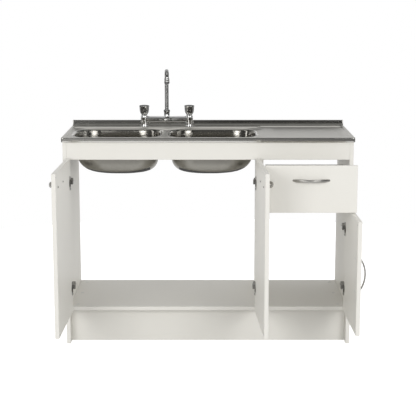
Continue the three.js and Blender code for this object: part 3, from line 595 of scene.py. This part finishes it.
DECK_STEEL = brushed_sheet(
    "deck_steel", (0.58, 0.57, 0.54), (0.50, 0.49, 0.465), 0.12, (3.0, 900.0, 900.0), 0.000003,
    flat=0.20)
# A darker copy of the deck's steel: painted shade, standing for the upstand's dark reflection of
# the room in front.
SHADED_UPSTAND_STEEL = brushed_sheet(
    "shaded_upstand_steel", (0.38, 0.375, 0.35), (0.30, 0.295, 0.275), 0.10, (3.0, 900.0, 900.0),
    0.000003)
# A darker copy of the deck's steel: painted shade, standing for the dim inside of the bowls.
SHADED_BOWL_STEEL = brushed_sheet(
    "shaded_bowl_steel", (0.40, 0.385, 0.355), (0.33, 0.32, 0.29), 0.05, (3.0, 3.0, 1800.0), 0.00030,
    drawn=True)
UNDER_STEEL = underside_with_painted_shade()
CHROME = polished_chrome("polished_chrome", (0.80, 0.80, 0.795), (0.72, 0.72, 0.71), 0.045, 1.0)
# A darker copy of the tap's chrome for the knobs, spout nut and aerator: painted shade, standing
# for their dimmer reflections.
SHADED_SPOUT_CHROME = polished_chrome(
    "shaded_spout_chrome", (0.50, 0.50, 0.49), (0.44, 0.44, 0.43), 0.14, 0.30)
# A darker copy of the tap's chrome for the spout's pipe: painted shade, standing for its dimmer
# reflection.
SHADED_PIPE_CHROME = polished_chrome(
    "shaded_pipe_chrome", (0.45, 0.45, 0.44), (0.39, 0.39, 0.38), 0.14, 0.30)
SATIN_NICKEL = satin_metal("satin_nickel", (0.45, 0.44, 0.415), (0.37, 0.36, 0.34), 0.30)
# A darker copy of the satin nickel: painted shade, standing for the hinges in the shade inside the
# doors.
SHADED_HINGE_NICKEL = satin_metal("shaded_hinge_nickel", (0.28, 0.275, 0.26), (0.21, 0.205, 0.19), 0.22)
ZINC = satin_metal("zinc_plate", (0.44, 0.43, 0.415), (0.36, 0.35, 0.335), 0.34)
BRASS = satin_metal("turned_brass", (0.62, 0.47, 0.22), (0.52, 0.39, 0.17), 0.30)
NYLON = moulded("white_nylon", (0.74, 0.74, 0.71), (0.69, 0.69, 0.66), 0.42)
BUMPER = moulded("clear_rubber", (0.62, 0.62, 0.60), (0.56, 0.56, 0.54), 0.30)
DARK_GAUZE = moulded("dark_gauze", (0.040, 0.040, 0.042), (0.022, 0.022, 0.024), 0.45)

# the cut edges that the maker leaves bare, against the wall, on the floor and out of sight
WALL_CUT, FLOOR_CUT = ("Y", 0.3917, True), ("Z", 0.0003, False)
RAW_EDGES = {
    "left_side_panel": [WALL_CUT, FLOOR_CUT],
    "right_side_panel": [WALL_CUT, FLOOR_CUT],
    "partition": [WALL_CUT, ("Z", 0.1616, False)],
    "bottom_shelf": [WALL_CUT],
    "kickboard": [FLOOR_CUT],
    "front_rail": [("Z", 0.8547, True)],
    "back_rail": [("Z", 0.7553, False)],
}


# ---------- pressed steel sink ----------

def pressed_step(plan, slope, top, bottom, steps):
    """Rings down the soft edge of a pressing, with a level margin above and below."""
    margin = 0.8
    return [
        at_height(outline(plan, -margin), top),
        *(at_height(outline(plan, slope * k / steps), top - (top - bottom) * eased(k / steps))
          for k in range(steps + 1)),
        at_height(outline(plan, slope + margin), bottom),
    ]


def sink_deck():
    """The top of the sink, pressed from one sheet, its rolled edge and folded flange."""
    rim = box_corners(SINK_LEFT, SINK_RIGHT, SINK_FRONT, SINK_BACK, RIM_CORNER)
    left, right = SINK_LEFT + FIELD_BORDER, SINK_RIGHT - FIELD_BORDER
    front = SINK_FRONT + FIELD_BORDER
    field = [(x, y, FIELD_CORNER) for x, y in (
        (left, front), (right, front), (right, DRAIN_FIELD_BACK), (LEDGE_END, DRAIN_FIELD_BACK),
        (LEDGE_END, LEDGE_STEP), (left, LEDGE_STEP))]
    # from under the flange, over the roll and on to the level top, as (inward, height)
    edge = [(RIM_RETURN, RIM_BOTTOM), (1.5, RIM_BOTTOM), (0.4, RIM_BOTTOM + 0.4),
            (0.0, RIM_BOTTOM + 1.5)]
    edge += [(RIM_ROLL * (1 - math.cos(angle)), DECK_TOP - RIM_ROLL * (1 - math.sin(angle)))
             for angle in quarter(8)]
    edge.append((RIM_ROLL + 0.8, DECK_TOP))
    form = Form()
    top = form.loft([at_height(outline(rim, inward, steps=8), z) for inward, z in edge])[-1]
    border = form.loft(pressed_step(field, FIELD_SLOPE, DECK_TOP, FIELD_TOP, 8))
    form.fill(top, border[0])
    tray = box_corners(*TRAY, TRAY_CORNER)
    drain = form.loft(pressed_step(tray, TRAY_SLOPE, FIELD_TOP, TRAY_FLOOR, 10))
    rims = [form.ring(at_height(outline(
        box_corners(*plan, BOWL_CORNER), -BOWL_ROLL - BOWL_LIP), FIELD_TOP))
        for plan in BOWLS.values()]
    form.fill(border[-1], drain[0], *rims)
    form.fill(drain[-1])
    thickened(piece("sink_top", form, "carcass", DECK_STEEL, ["sink_deck"], "stainless_sheet",
                    sharp=50, upward=True))


def upstand():
    """The low wall along the back of the sink, with its coved foot and folded back edge."""
    low, fold = DECK_TOP - 0.6, DECK_TOP - 8
    foot = UPSTAND_FACE - UPSTAND_COVE
    profile = [(foot - 3, low), (foot - 3, DECK_TOP)]
    profile += [(foot + UPSTAND_COVE * math.sin(angle),
                 DECK_TOP + UPSTAND_COVE * (1 - math.cos(angle))) for angle in quarter(8)]
    for centre, start in ((UPSTAND_FACE + UPSTAND_ROLL, math.pi),
                          (SINK_BACK - UPSTAND_ROLL, math.pi / 2)):
        profile += [(centre + UPSTAND_ROLL * math.cos(start - angle),
                     UPSTAND_TOP - UPSTAND_ROLL + UPSTAND_ROLL * math.sin(start - angle))
                    for angle in quarter(6)]
    profile += [(SINK_BACK, fold), (SINK_BACK - STEEL, fold), (SINK_BACK - STEEL, low)]
    # along its length, and how far its ends are tucked in
    ends = [(SINK_LEFT, 0.5), (SINK_LEFT + 0.8, 0.0), (SINK_LEFT + 3, 0.0),
            (SINK_RIGHT - 3, 0.0), (SINK_RIGHT - 0.8, 0.0), (SINK_RIGHT, 0.5)]
    form = Form()
    form.loft([
        [(x, y + (tuck if y < UPSTAND_FACE + 3 else -tuck), z - tuck) for y, z in profile]
        for x, tuck in ends], capped=True)
    piece("sink_upstand", form, "carcass", SHADED_UPSTAND_STEEL, ["sink_deck"], "stainless_sheet")


def bowl(name, plan, outer_side):
    """A deep bowl drawn from one sheet, with a rolled lip, a rounded floor and a waste recess."""
    left, right, front, back = plan
    floor = FIELD_TOP - BOWL_DEPTH

    def wall_inset(lean, radius, z):
        """How far a wall stands in from the lip at a height."""
        below = floor + radius - z
        if below <= 0:
            return lean * (FIELD_TOP - z)
        return lean * (BOWL_DEPTH - radius) + radius - math.sqrt(max(radius ** 2 - below ** 2, 0))

    def ring_at(z):
        ends = {side: wall_inset(*(OUTER_END if side == outer_side else INNER_END), z)
                for side in ("left", "right")}
        long = wall_inset(*LONG_SIDE, z)
        radius = BOWL_CORNER + (BOWL_FLOOR_CORNER - BOWL_CORNER) * (FIELD_TOP - z) / BOWL_DEPTH
        return outline(box_corners(
            left + ends["left"], right - ends["right"], front + long, back - long, radius))

    plan_corners = box_corners(*plan, BOWL_CORNER)
    rings = [at_height(outline(plan_corners, -BOWL_ROLL - out), FIELD_TOP)
             for out in (BOWL_LIP, 0.9)]
    rings += [at_height(outline(plan_corners, -BOWL_ROLL * (1 - math.sin(angle))),
                        FIELD_TOP - BOWL_ROLL * (1 - math.cos(angle))) for angle in quarter(8)]
    heights = [FIELD_TOP - depth for depth in (16, 30, 50)]
    heights += [floor + OUTER_END[1] * (1 - math.sin(angle)) for angle in quarter(12)]
    rings += [at_height(ring_at(z), z) for z in heights]
    middle = Vector(((left + right) / 2, (front + back) / 2))
    foot = ring_at(floor)
    spokes = [(point - middle).normalized() for point in foot]
    basin, basin_edge, fall = WASTE_RADIUS + 14, 6, 1.2
    for t in (0.35, 0.7, 0.97):
        rings.append([
            (*point.lerp(middle + spoke * basin, t), floor - fall * t)
            for point, spoke in zip(foot, spokes)])
    for k in range(7):
        reach = basin - basin_edge * k / 6
        drop = fall + (FLOOR_FALL - fall) * eased(k / 6)
        rings.append([(*(middle + spoke * reach), floor - drop) for spoke in spokes])
    rings.append([(*(middle + spoke * WASTE_RADIUS), floor - FLOOR_FALL) for spoke in spokes])
    form = Form()
    form.loft(rings)
    made = piece(name + "_pressing", form, "carcass", SHADED_BOWL_STEEL, [name], "stainless_sheet",
                 sharp=50, upward=True)
    made.data.materials.append(UNDER_STEEL)
    thickened(made).material_offset = 1


# ---------- mixer tap ----------

def tap_casting():
    """Two pillars with flanges and threaded tails, and the bar that joins them."""
    form = Form()
    pillar = softened([
        (12.0, -42.0), (12.5, -41.0), (12.5, 0.2), (20.0, 0.2), (20.0, 2.2), (16.6, 2.9),
        (15.9, 4.0), (15.6, 14.0), (15.6, 31.0), (16.3, 38.0), (16.3, 46.0), (11.0, 46.3)], 0.5)
    for side in HANDS.values():
        form.turn(pillar, 48, (side * TAP_HALF, 0))
    bar = [Vector((0, *point)) for point in outline(
        box_corners(-13.0, 13.0, 18.0, 45.0, 9.0), steps=8, guard=1.0)]
    middle = Vector((0, 0, 31.5))
    rings = []
    for k in range(41):
        x = -TAP_HALF + 2 * TAP_HALF * k / 40
        # waisted on either side, and full again round the spout's socket
        thin = 0.93 + 0.07 * eased(min(abs(x) / 60, 1))
        swell = 1.08 - 0.15 * eased(min(abs(x) / 26, 1)) if abs(x) < 26 else thin
        girth = min(max(thin, swell), 1.0)
        rings.append([(x, *(middle + (point - middle) * girth).yz) for point in bar])
    form.loft(rings, capped=True)
    form.turn(softened([(11.0, 30.0), (12.8, 43.0), (12.6, 52.0), (8.8, 52.0)], 0.6), 48)
    form.move(TAP_PLACE)
    piece("tap_casting", form, "carcass", CHROME, ["tap_body"], "chrome", sharp=32)


def tap_bonnets():
    profile = softened([
        (12.0, 46.3), (13.6, 46.3), (13.6, 51.4), (12.6, 52.2), (4.5, 52.2), (4.5, 64.3),
        (0.5, 64.3)], 0.3)
    for hand, side in HANDS.items():
        turned(f"{hand}_tap_bonnet", profile, 36,
               TAP_PLACE @ Matrix.Translation((side * TAP_HALF, 0, 0)),
               "carcass", CHROME, [f"{hand}_bonnet"], "chrome", sharp=32)


def tap_knob(hand, side):
    """A cast knob with eight hollow flutes that die out at its foot and under its domed top."""
    form = Form()
    base, sides, flutes = 52.6, 96, 8
    heights = [  # height, radius, flute depth
        (0.0, 10.5, 0.0), (0.4, 12.3, 0.1), (1.6, 14.0, 0.4), (3.6, 15.6, 0.9), (6.4, 17.0, 1.6),
        (9.6, 18.2, 2.2), (13.6, 19.2, 2.7), (20.0, 20.0, 3.0), (27.0, 20.7, 2.8),
        (32.0, 21.2, 2.0), (35.0, 21.7, 1.1), (36.4, 22.0, 0.4), (37.6, 21.9, 0.0),
        (38.6, 20.9, 0.0), (39.4, 19.0, 0.0), (40.2, 15.4, 0.0), (40.8, 9.0, 0.0),
        (41.0, 3.0, 0.0),
    ]
    rings = []
    for height, radius, depth in heights:
        rings.append([])
        for k in range(sides):
            hollow = abs(math.sin(math.pi * flutes * k / sides)) ** 1.4
            x, y = on_circle(radius - depth * hollow, k, sides)
            rings[-1].append((side * TAP_HALF + x, y, base + height))
    form.loft(rings, capped=True)
    form.move(TAP_PLACE)
    piece(f"{hand}_tap_knob", form, f"{hand}_knob", SHADED_SPOUT_CHROME, [f"{hand}_knob"], "chrome",
          sharp=45)


def spout_route():
    """The middle of the spout's pipe, from its socket over the back bend to its tip."""
    route = [(0.0, SPOUT_FOOT), (0.0, 110.0), (0.0, BEND_FROM)]
    route += [(BACK_BEND * (1 - math.cos(angle)), BEND_FROM + BACK_BEND * math.sin(angle))
              for angle in quarter(24)[1:]]
    route.append(((BACK_BEND + SPOUT_REACH - FRONT_BEND) / 2, PIPE_TOP))
    route += [(SPOUT_REACH - FRONT_BEND * (1 - math.sin(angle)),
               PIPE_TOP - FRONT_BEND * (1 - math.cos(angle))) for angle in quarter(16)]
    route.append((SPOUT_REACH, SPOUT_TIP))
    return [IN_PLACE @ SPOUT_PLACE @ Vector((0, -forward, height)) for forward, height in route]


def pipe_tree():
    """Geometry Nodes that run a round pipe along a line of points."""
    nodes = Growth("bent_pipe", [("Route", "Geometry", None), ("Pipe radius", "Float", 0.01),
                                 ("Pipe sides", "Int", 32)])
    curve = nodes.node("GeometryNodeMeshToCurve", None, {"Mesh": nodes.given["Route"]})
    section = nodes.node("GeometryNodeCurvePrimitiveCircle", None, {
        "Radius": nodes.given["Pipe radius"], "Resolution": nodes.given["Pipe sides"]})
    sweep = nodes.node("GeometryNodeCurveToMesh", None, {
        "Curve": curve.outputs["Curve"], "Profile Curve": section.outputs["Curve"],
        "Fill Caps": True})
    return nodes.ended(sweep.outputs["Mesh"])


def tap_spout():
    route = spout_route()
    mesh = grown("spout_pipe", pipe_tree(), route, [(i, i + 1) for i in range(len(route) - 1)],
                 {"Pipe radius": PIPE_RADIUS * MM, "Pipe sides": 40, "Finish": SHADED_PIPE_CHROME})
    dressed("spout_pipe", mesh, "spout", SHADED_PIPE_CHROME, ["spout"])
    sleeve = [
        (8.0, 225.7), (10.0, 225.7), (10.6, 223.4), (10.6, 216.6), (10.1, 216.0), (10.1, 215.2),
        (10.8, 214.6), (10.8, 209.0), (7.4, 209.0), (7.4, 211.6), (0.4, 211.6)]
    turned("spout_aerator", softened(sleeve, 0.45), 40, TIP_PLACE,
           "spout", SHADED_SPOUT_CHROME, ["aerator"], "chrome", sharp=32)
    ring = [(7.4, 209.0), (11.0, 208.9), (11.0, 205.2), (10.4, 204.3), (8.0, 204.3), (7.4, 205.2)]
    turned("aerator_ring", softened(ring + ring[:1], 0.4), 40, TIP_PLACE,
           "spout", DARK_GAUZE, (), "chrome", sharp=32, capped=False)
    gauze = [(0.3, 208.4)]
    gauze += [(k * 1.15, 208.4 - (0.5 if k % 2 else 0.0)) for k in range(1, 7)]
    gauze += [(7.3, 208.4), (7.3, 210.4), (0.3, 210.4)]
    turned("aerator_gauze", gauze, 32, TIP_PLACE, "spout", DARK_GAUZE, sharp=25)


def tap_spout_nut():
    """The nut that holds the spout down, with its shallow grips."""
    sides, grips = 72, 12
    profile = softened([
        (8.9, 52.4), (12.2, 52.4), (12.2, 54.6), (12.6, 60.0), (13.4, 65.4), (14.0, 67.0),
        (14.0, 69.2), (12.6, 71.6), (10.4, 73.2), (8.9, 73.2)], 0.6)
    rings = []
    for radius, height in profile:
        depth = 0.55 if 55.0 < height < 68.0 and radius > 11.0 else 0.0
        hollows = [depth * (0.5 + 0.5 * math.cos(math.tau * grips * k / sides))
                   for k in range(sides)]
        rings.append([(*on_circle(radius - hollow, k, sides), height)
                      for k, hollow in enumerate(hollows)])
    form = Form()
    form.loft(rings, joined=True)
    form.move(TAP_PLACE)
    piece("spout_lock_nut", form, "carcass", SHADED_SPOUT_CHROME, ["spout_nut"], "chrome", sharp=35)


# ---------- handles ----------

def bow_handle(name, body, node, place):
    """A flat bow, widest either side of its middle and narrowing to its two feet."""
    half_length, reach, thickness = 74.0, 27.0, 6.0
    outer = (half_length ** 2 + reach ** 2) / (2 * reach)
    centre_y = outer - reach
    middle = outer - thickness / 2
    widest = 0.62  # of the way from its middle to a foot
    steps, around = 48, 28
    rings = []
    for k in range(steps + 1):
        t = 2 * k / steps - 1
        if abs(t) < widest:
            half_width = 6.35 + 0.35 * (abs(t) / widest) ** 3
        else:
            half_width = 6.7 - 2.2 * eased((abs(t) - widest) / (1 - widest))
        rings.append([])
        for j in range(around):
            x, y = on_circle(1, j, around)
            radius = middle + thickness / 2 * math.copysign(abs(y) ** 0.9, y)
            sweep = t * math.acos(centre_y / radius)
            rings[-1].append((radius * math.sin(sweep), centre_y - radius * math.cos(sweep),
                              half_width * math.copysign(abs(x) ** 0.8, x)))
    form = Form()
    form.loft(rings, capped=True)
    form.move(place)
    piece(name, form, body, SATIN_NICKEL, [node], "satin_nickel", sharp=45)


def door_place(door):
    side, opening = DOORS[door][:2]
    return (Matrix.Translation((BOARD_FACE[door] + side, PIVOT_Y, 0))
            @ Matrix.Rotation(side * math.radians(opening), 4, "Z"))


def handle_spot(door):
    side, _, hinge_edge, width, _ = DOORS[door]
    inset, height = (55.0, 380.0) if door == "right" else (120.0, HANDLE_ROW)
    return side * (hinge_edge - width + inset), height


def handles():
    for door in DOORS:
        x, height = handle_spot(door)
        place = door_place(door) @ Matrix.Translation((x, DOOR_FACE, height))
        if door == "right":
            place = place @ Matrix.Rotation(math.pi / 2, 4, "Y")
        bow_handle(f"{door}_door_bow", f"{door}_door", f"{door}_door_handle", place)
    bow_handle("drawer_bow", "drawer", "drawer_handle",
               Matrix.Translation((DRAWER_MIDDLE, DRAWER_FACE, HANDLE_ROW)))


# ---------- hinges ----------

def hinge_cup(door, level, height):
    """The cup let into a door and its flange's two wings, which two screws hold."""
    side, _, hinge_edge, _, _ = DOORS[door]
    form = Form()
    cup = softened([
        (0.5, -11.3), (14.6, -11.3), (17.3, -8.5), (17.3, 0.9), (17.9, 1.6), (17.9, 1.9),
        (16.4, 1.9), (16.1, 0.6), (16.1, -8.0), (13.8, -10.2), (0.5, -10.2)], 0.5)
    form.turn(cup, 40)
    near, far, rim = -8.5, 15.5, 17.0
    flange = box_corners(near, far, -30.0, 30.0, 10.9)
    for end in (-1, 1):
        rings = []
        for inward, z in ((0.0, 0.3), (0.0, 1.1), (0.4, 1.5)):
            # the flange's two back corners, and back round the cup's rim
            wing = [tuple(point) for point in outline(flange, inward, steps=8, guard=0.5)[22:]]
            first, last = math.acos((near + inward) / rim), math.acos((far - inward) / rim)
            for k in range(13):
                angle = first + (last - first) * k / 12
                wing.append((rim * math.cos(angle), rim * math.sin(angle)))
            rings.append([(x, end * y, z) for x, y in wing])
        form.loft(rings, capped=True)
    # The cup's axis comes out of the door's inner face.
    upright = Matrix.Rotation(-math.pi / 2, 4, "X")
    mirror = Matrix.Scale(side, 4, (1, 0, 0))
    centre = Matrix.Translation((side * (hinge_edge - 21.5), DOOR_INSIDE, height))
    form.move(door_place(door) @ centre @ mirror @ upright)
    piece(f"{door}_door_{level}_cup", form, f"{door}_door", SHADED_HINGE_NICKEL,
          [f"{door}_door_{level}_hinge_cup"], "satin_nickel", sharp=35)


def hinge_cups():
    for door, (_, _, _, _, heights) in DOORS.items():
        for level, height in zip(("upper", "lower"), heights):
            hinge_cup(door, level, height)


# ---------- screws and small fittings ----------

def head_tree(name, crossed):
    """Geometry Nodes that set a screw head, or a plain round button, on every point, turned to
    the point's facing and scaled by its size."""
    nodes = Growth(name, [("Places", "Geometry", None), ("Head radius", "Float", 0.004),
                          ("Head height", "Float", 0.002), ("Recess width", "Float", 0.0009)])
    radius, height = (Amount(nodes, nodes.given["Head " + key]) for key in ("radius", "height"))

    def cone(low, high):
        return nodes.node("GeometryNodeMeshCone", None, {
            "Vertices": 20, "Radius Bottom": radius * low, "Radius Top": radius * high,
            "Depth": height * 0.5}).outputs["Mesh"]

    def raised(mesh, rise):
        lift = nodes.node("ShaderNodeCombineXYZ", None, {"Z": rise})
        return nodes.node("GeometryNodeTransform", None, {
            "Geometry": mesh, "Translation": lift.outputs["Vector"]}).outputs["Geometry"]

    def joined(meshes):
        return nodes.node(
            "GeometryNodeJoinGeometry", None, {"Geometry": meshes}).outputs["Geometry"]

    def attribute(key, kind):
        return nodes.node("GeometryNodeInputNamedAttribute", {"data_type": kind}, {
            "Name": key}).outputs["Attribute"]

    head = joined([cone(1.0, 0.94), raised(cone(0.94, 0.62), height * 0.5)])
    if crossed:
        slots = []
        for along, beside in (("X", "Y"), ("Y", "X")):
            size = nodes.node("ShaderNodeCombineXYZ", None, {
                along: radius * 1.15, beside: nodes.given["Recess width"], "Z": height})
            slot = nodes.node("GeometryNodeMeshCube", None, {"Size": size.outputs["Vector"]})
            slots.append(raised(slot.outputs["Mesh"], height))
        head = nodes.node("GeometryNodeMeshBoolean", {"operation": "DIFFERENCE"}, {
            "Mesh 1": head, "Mesh 2": joined(slots)}).outputs["Mesh"]
    places = nodes.node("GeometryNodeMeshToPoints", None, {"Mesh": nodes.given["Places"]})
    aim = nodes.node("FunctionNodeAlignRotationToVector", {"axis": "Z"}, {
        "Vector": attribute("facing", "FLOAT_VECTOR")})
    spread = nodes.node("GeometryNodeInstanceOnPoints", None, {
        "Points": places.outputs["Points"], "Instance": head,
        "Rotation": aim.outputs["Rotation"], "Scale": attribute("size", "FLOAT")})
    return nodes.ended(spread.outputs["Instances"])


def fasteners(name, body, kind, spots):
    """Sets heads of one kind on one body. A kind is (tree, finish, slot, head radius, head
    height), and a spot is (place, facing, size), in drawing space."""
    tree, finish, slot, radius, height = kind
    points = [IN_PLACE @ Vector(place) for place, _, _ in spots]
    mesh = grown(name, tree, points, [], {
        "Head radius": radius * MM, "Head height": height * MM, "Recess width": 0.9 * MM,
        "Finish": finish}, {
        "facing": ("FLOAT_VECTOR", [tuple(facing) for _, facing, _ in spots]),
        "size": ("FLOAT", [size for _, _, size in spots])})
    dressed(name, mesh, body, finish, sharp=30)


def door_spots(door):
    """Screw places on a door's inner face, for its two cups and its handle, and the places of
    its two bumpers."""
    side, _, hinge_edge, width, heights = DOORS[door]
    place = door_place(door)
    facing = place.to_3x3() @ Vector((0, 1, 0))

    def spots(places, depth, size):
        return [(place @ Vector((x, depth, z)), facing, size) for x, z in places]

    hinges = [(side * (hinge_edge - 18.0), height + rise)
              for height in heights for rise in (-23.5, 23.5)]
    x, height = handle_spot(door)
    if door == "right":
        handle = [(x, height + reach) for reach in HANDLE_SCREWS]
    else:
        handle = [(x + reach, height) for reach in HANDLE_SCREWS]
    top = 600.0 if door == "right" else 791.0
    bumpers = [(side * (hinge_edge - width + 8.0), z) for z in (top - 14.0, 162.0)]
    return (spots(hinges, DOOR_INSIDE + 1.5, 1.0), spots(handle, DOOR_INSIDE, 1.15),
            spots(bumpers, DOOR_INSIDE, 1.0))


def cabinet_spots():
    """Screws in the hinge plates and arms, and in the runners."""
    spots = []
    for door, (side, _, _, _, heights) in DOORS.items():
        plate, arm = BOARD_FACE[door] - side * 2.3, BOARD_FACE[door] - side * 21.0
        facing = (-side, 0, 0)
        for height in heights:
            spots += [((plate, 37.0, height + rise), facing, 1.0) for rise in (-18.5, 18.5)]
            spots += [((arm, y, height), facing, 0.85) for y in (30.0, 44.0)]
    for face, out in DRAWER_RUNNER_FACES:
        spots += [((face + out * 1.5, y, 641.0), (out, 0, 0), 0.75) for y in (40.0, 150.0, 262.0)]
    return spots


def cap_spots():
    """White caps over the connecting screws inside the cabinet."""
    spots = [((x, y, 161.0), (0, 0, 1), 1.0) for x in (-549.0, 549.0) for y in (40.0, 225.0, 410.0)]
    for x in (-549.0, 549.0):
        for y, z, out in ((16.0, 828.0, 1), (434.0, 810.0, -1), (66.0, 90.0, 1)):
            spots.append(((x, y, z), (0, out, 0), 1.0))
    return spots


def small_fittings():
    crossed, plain = head_tree("screw_heads", True), head_tree("round_buttons", False)
    screw = (crossed, ZINC, "plated_steel", 3.9, 1.9)
    board_cap = (plain, NYLON, "white_nylon", 7.5, 1.2)
    handle_cap = (plain, NYLON, "white_nylon", 5.0, 1.4)
    bumper = (plain, BUMPER, "white_nylon", 4.0, 1.7)
    fasteners("cabinet_screws", "carcass", screw, cabinet_spots())
    fasteners("cabinet_caps", "carcass", board_cap, cap_spots())
    for door in DOORS:
        body = f"{door}_door"
        hinges, handle, bumpers = door_spots(door)
        if door == "right":  # its handle's screws are under white caps
            fasteners("right_door_caps", body, handle_cap, handle)
            fasteners("right_door_screws", body, screw, hinges)
        else:
            fasteners(body + "_screws", body, screw, hinges + handle)
        fasteners(body + "_bumpers", body, bumper, bumpers)
    inner = DRAWER_FACE + FRONT_THICKNESS
    fasteners("drawer_screws", "drawer", screw, [
        ((DRAWER_MIDDLE + reach, inner, HANDLE_ROW), (0, 1, 0), 1.15) for reach in HANDLE_SCREWS])


# ---------- finishes on the frame's own pieces ----------

def paint_frame():
    """Gives every node of the frame its finish, by the first of these endings that its name has,
    unless it is a board with bare edges. The empty ending fits every name."""
    plain = white_melamine("white_board", [])
    finishes = (
        (("_panel", "_front", "_side", "_back", "_bottom"), plain), (("_roller",), NYLON),
        (("_runner", "_plate"), ZINC), (("_arm", "_cup"), SHADED_HINGE_NICKEL),
        (("_handle",), SATIN_NICKEL), (("_back_nut",), BRASS), (("_deck", "_bowl"), DECK_STEEL),
        (("",), CHROME))
    for name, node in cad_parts.items():
        if name in RAW_EDGES:
            finish = white_melamine("board_" + name, RAW_EDGES[name])
        else:
            finish = next(finish for endings, finish in finishes if name.endswith(endings))
        for slot in node.material_slots:
            slot.material = finish
        if not node.material_slots:
            node.data.materials.append(finish)


# ---------- studio ----------

def studio_floor():
    """White paper that keeps the object's shadow, and its bright and dimmer parts as mirrored."""
    form = Form()
    rings = [[(*on_circle(radius, k, 64), 0.0) for k in range(64)]
             for radius in (0.05, 0.4, 1.0, 2.6)]
    form.mesh.faces.new(form.loft(rings)[0])
    bmesh.ops.recalc_face_normals(form.mesh, faces=form.mesh.faces)
    floor = bpy.data.objects.new("studio_floor", form.made("studio_floor"))
    bpy.context.scene.collection.objects.link(floor)
    finish = Finish(bpy.data.materials.new("studio_paper"))
    camera, glossy = finish.rays()
    across, along, _ = finish.axes()
    back = finish.ramp(along * 0.2 + 1.0, [(0.55, 0.0), (0.75, 1.0)])
    beside = finish.ramp(across * 0.5 + 0.5, [(0.55, 1.0), (0.70, 0.40)])
    paper = finish.node("ShaderNodeBsdfDiffuse", None, {"Color": (0.62, 0.62, 0.62, 1)})
    lift = finish.node("ShaderNodeEmission", None, {
        "Color": (1, 1, 1, 1),
        "Strength": camera * 0.80 + glossy * 0.5 * (back + (1 - back) * beside)})
    finish.shown(finish.node(
        "ShaderNodeAddShader", None, {0: paper.outputs[0], 1: lift.outputs[0]}))
    floor.data.materials.append(finish.owner)


def studio_light():
    """A white room for the camera, a soft and darker one for the metal to mirror."""
    room = Finish(bpy.data.worlds.new("studio"))
    bpy.context.scene.world = room.owner
    camera, glossy = room.rays()
    across, away, up = room.axes(room.node("ShaderNodeTexCoord").outputs["Generated"])
    wall = room.ramp(away * 0.5 + 0.5, [
        (0.0, 0.07), (0.5, 0.12), (0.70, 0.24), (0.80, 0.90)])
    low = room.ramp(up, [(0.20, 1.0), (0.32, 0.25), (0.6, 0.25)])
    overhead = room.ramp(up, [(0.70, 0.0), (0.90, 0.75)])
    # what the sink's front rim mirrors, below the paper's front edge
    beside = room.ramp(across * 2.0 + 0.5, [(0.50, 0.24), (0.75, 0.12)])
    paper = beside * (up < -0.05) * (away < -0.3)
    left_part = 0.14 * room.ramp(across * 4.0 + 0.5, [(0.25, 1.0), (0.60, 0.0)]) * (away < -0.5)
    mirrored = (wall + left_part) * low + paper + overhead
    ambient = room.ramp(up * 0.5 + 0.5, [
        (0.0, 0.50), (0.5, 0.64), (0.65, 0.69), (0.85, 0.60), (1.0, 0.60)])
    behind = room.ramp(away, [(0.2, 0.0), (0.6, 0.28)])
    strength = camera + (1 - camera) * (
        glossy * mirrored + (1 - glossy) * (ambient + behind))
    room.shown(room.node("ShaderNodeBackground", None, {
        "Color": (1, 1, 1, 1), "Strength": strength}), "ShaderNodeOutputWorld")
    for name, (x, y, z), aim, size, power in (
            ("front_{}_box", (2.15, -4.2, 1.7), (0.0, 0.0, 0.6), (1.7, 1.8), 57.0),
            ("{}_strip", (3.2, -0.1, 1.8), (0.0, 0.2, 0.8), (0.4, 2.6), 8.0)):
        for hand, side in (("right", 1), ("left", -1)):
            lamp = bpy.data.lights.new(name.format(hand), "AREA")
            lamp.shape = "RECTANGLE"
            lamp.size, lamp.size_y = size
            lamp.energy = power
            holder = bpy.data.objects.new(lamp.name, lamp)
            holder.location = side * x, y, z
            to_aim = Vector(aim) - Vector((side * x, y, z))
            holder.rotation_euler = to_aim.to_track_quat("-Z", "Y").to_euler()
            bpy.context.scene.collection.objects.link(holder)


def picture_camera():
    """Where the photograph was taken from, as fitted to its edges and corners."""
    lens = bpy.data.cameras.new("picture_camera")
    lens.sensor_width = 36.0
    lens.lens = 100.98
    holder = bpy.data.objects.new("picture_camera", lens)
    holder.location = (-0.0036, -4.7824, 1.4940)
    holder.rotation_euler = (math.pi / 2 - math.radians(10.925), 0.0, math.radians(-0.039))
    bpy.context.scene.collection.objects.link(holder)
    bpy.context.scene.camera = holder


picture_camera()
bpy.context.scene.view_settings.view_transform = "Standard"
studio_light()
studio_floor()
paint_frame()
sink_deck()
upstand()
bowl("left_bowl", BOWLS["left"], "left")
bowl("right_bowl", BOWLS["right"], "right")
tap_casting()
tap_bonnets()
for tap_hand, tap_side in HANDS.items():
    tap_knob(tap_hand, tap_side)
tap_spout()
tap_spout_nut()
handles()
hinge_cups()
small_fittings()
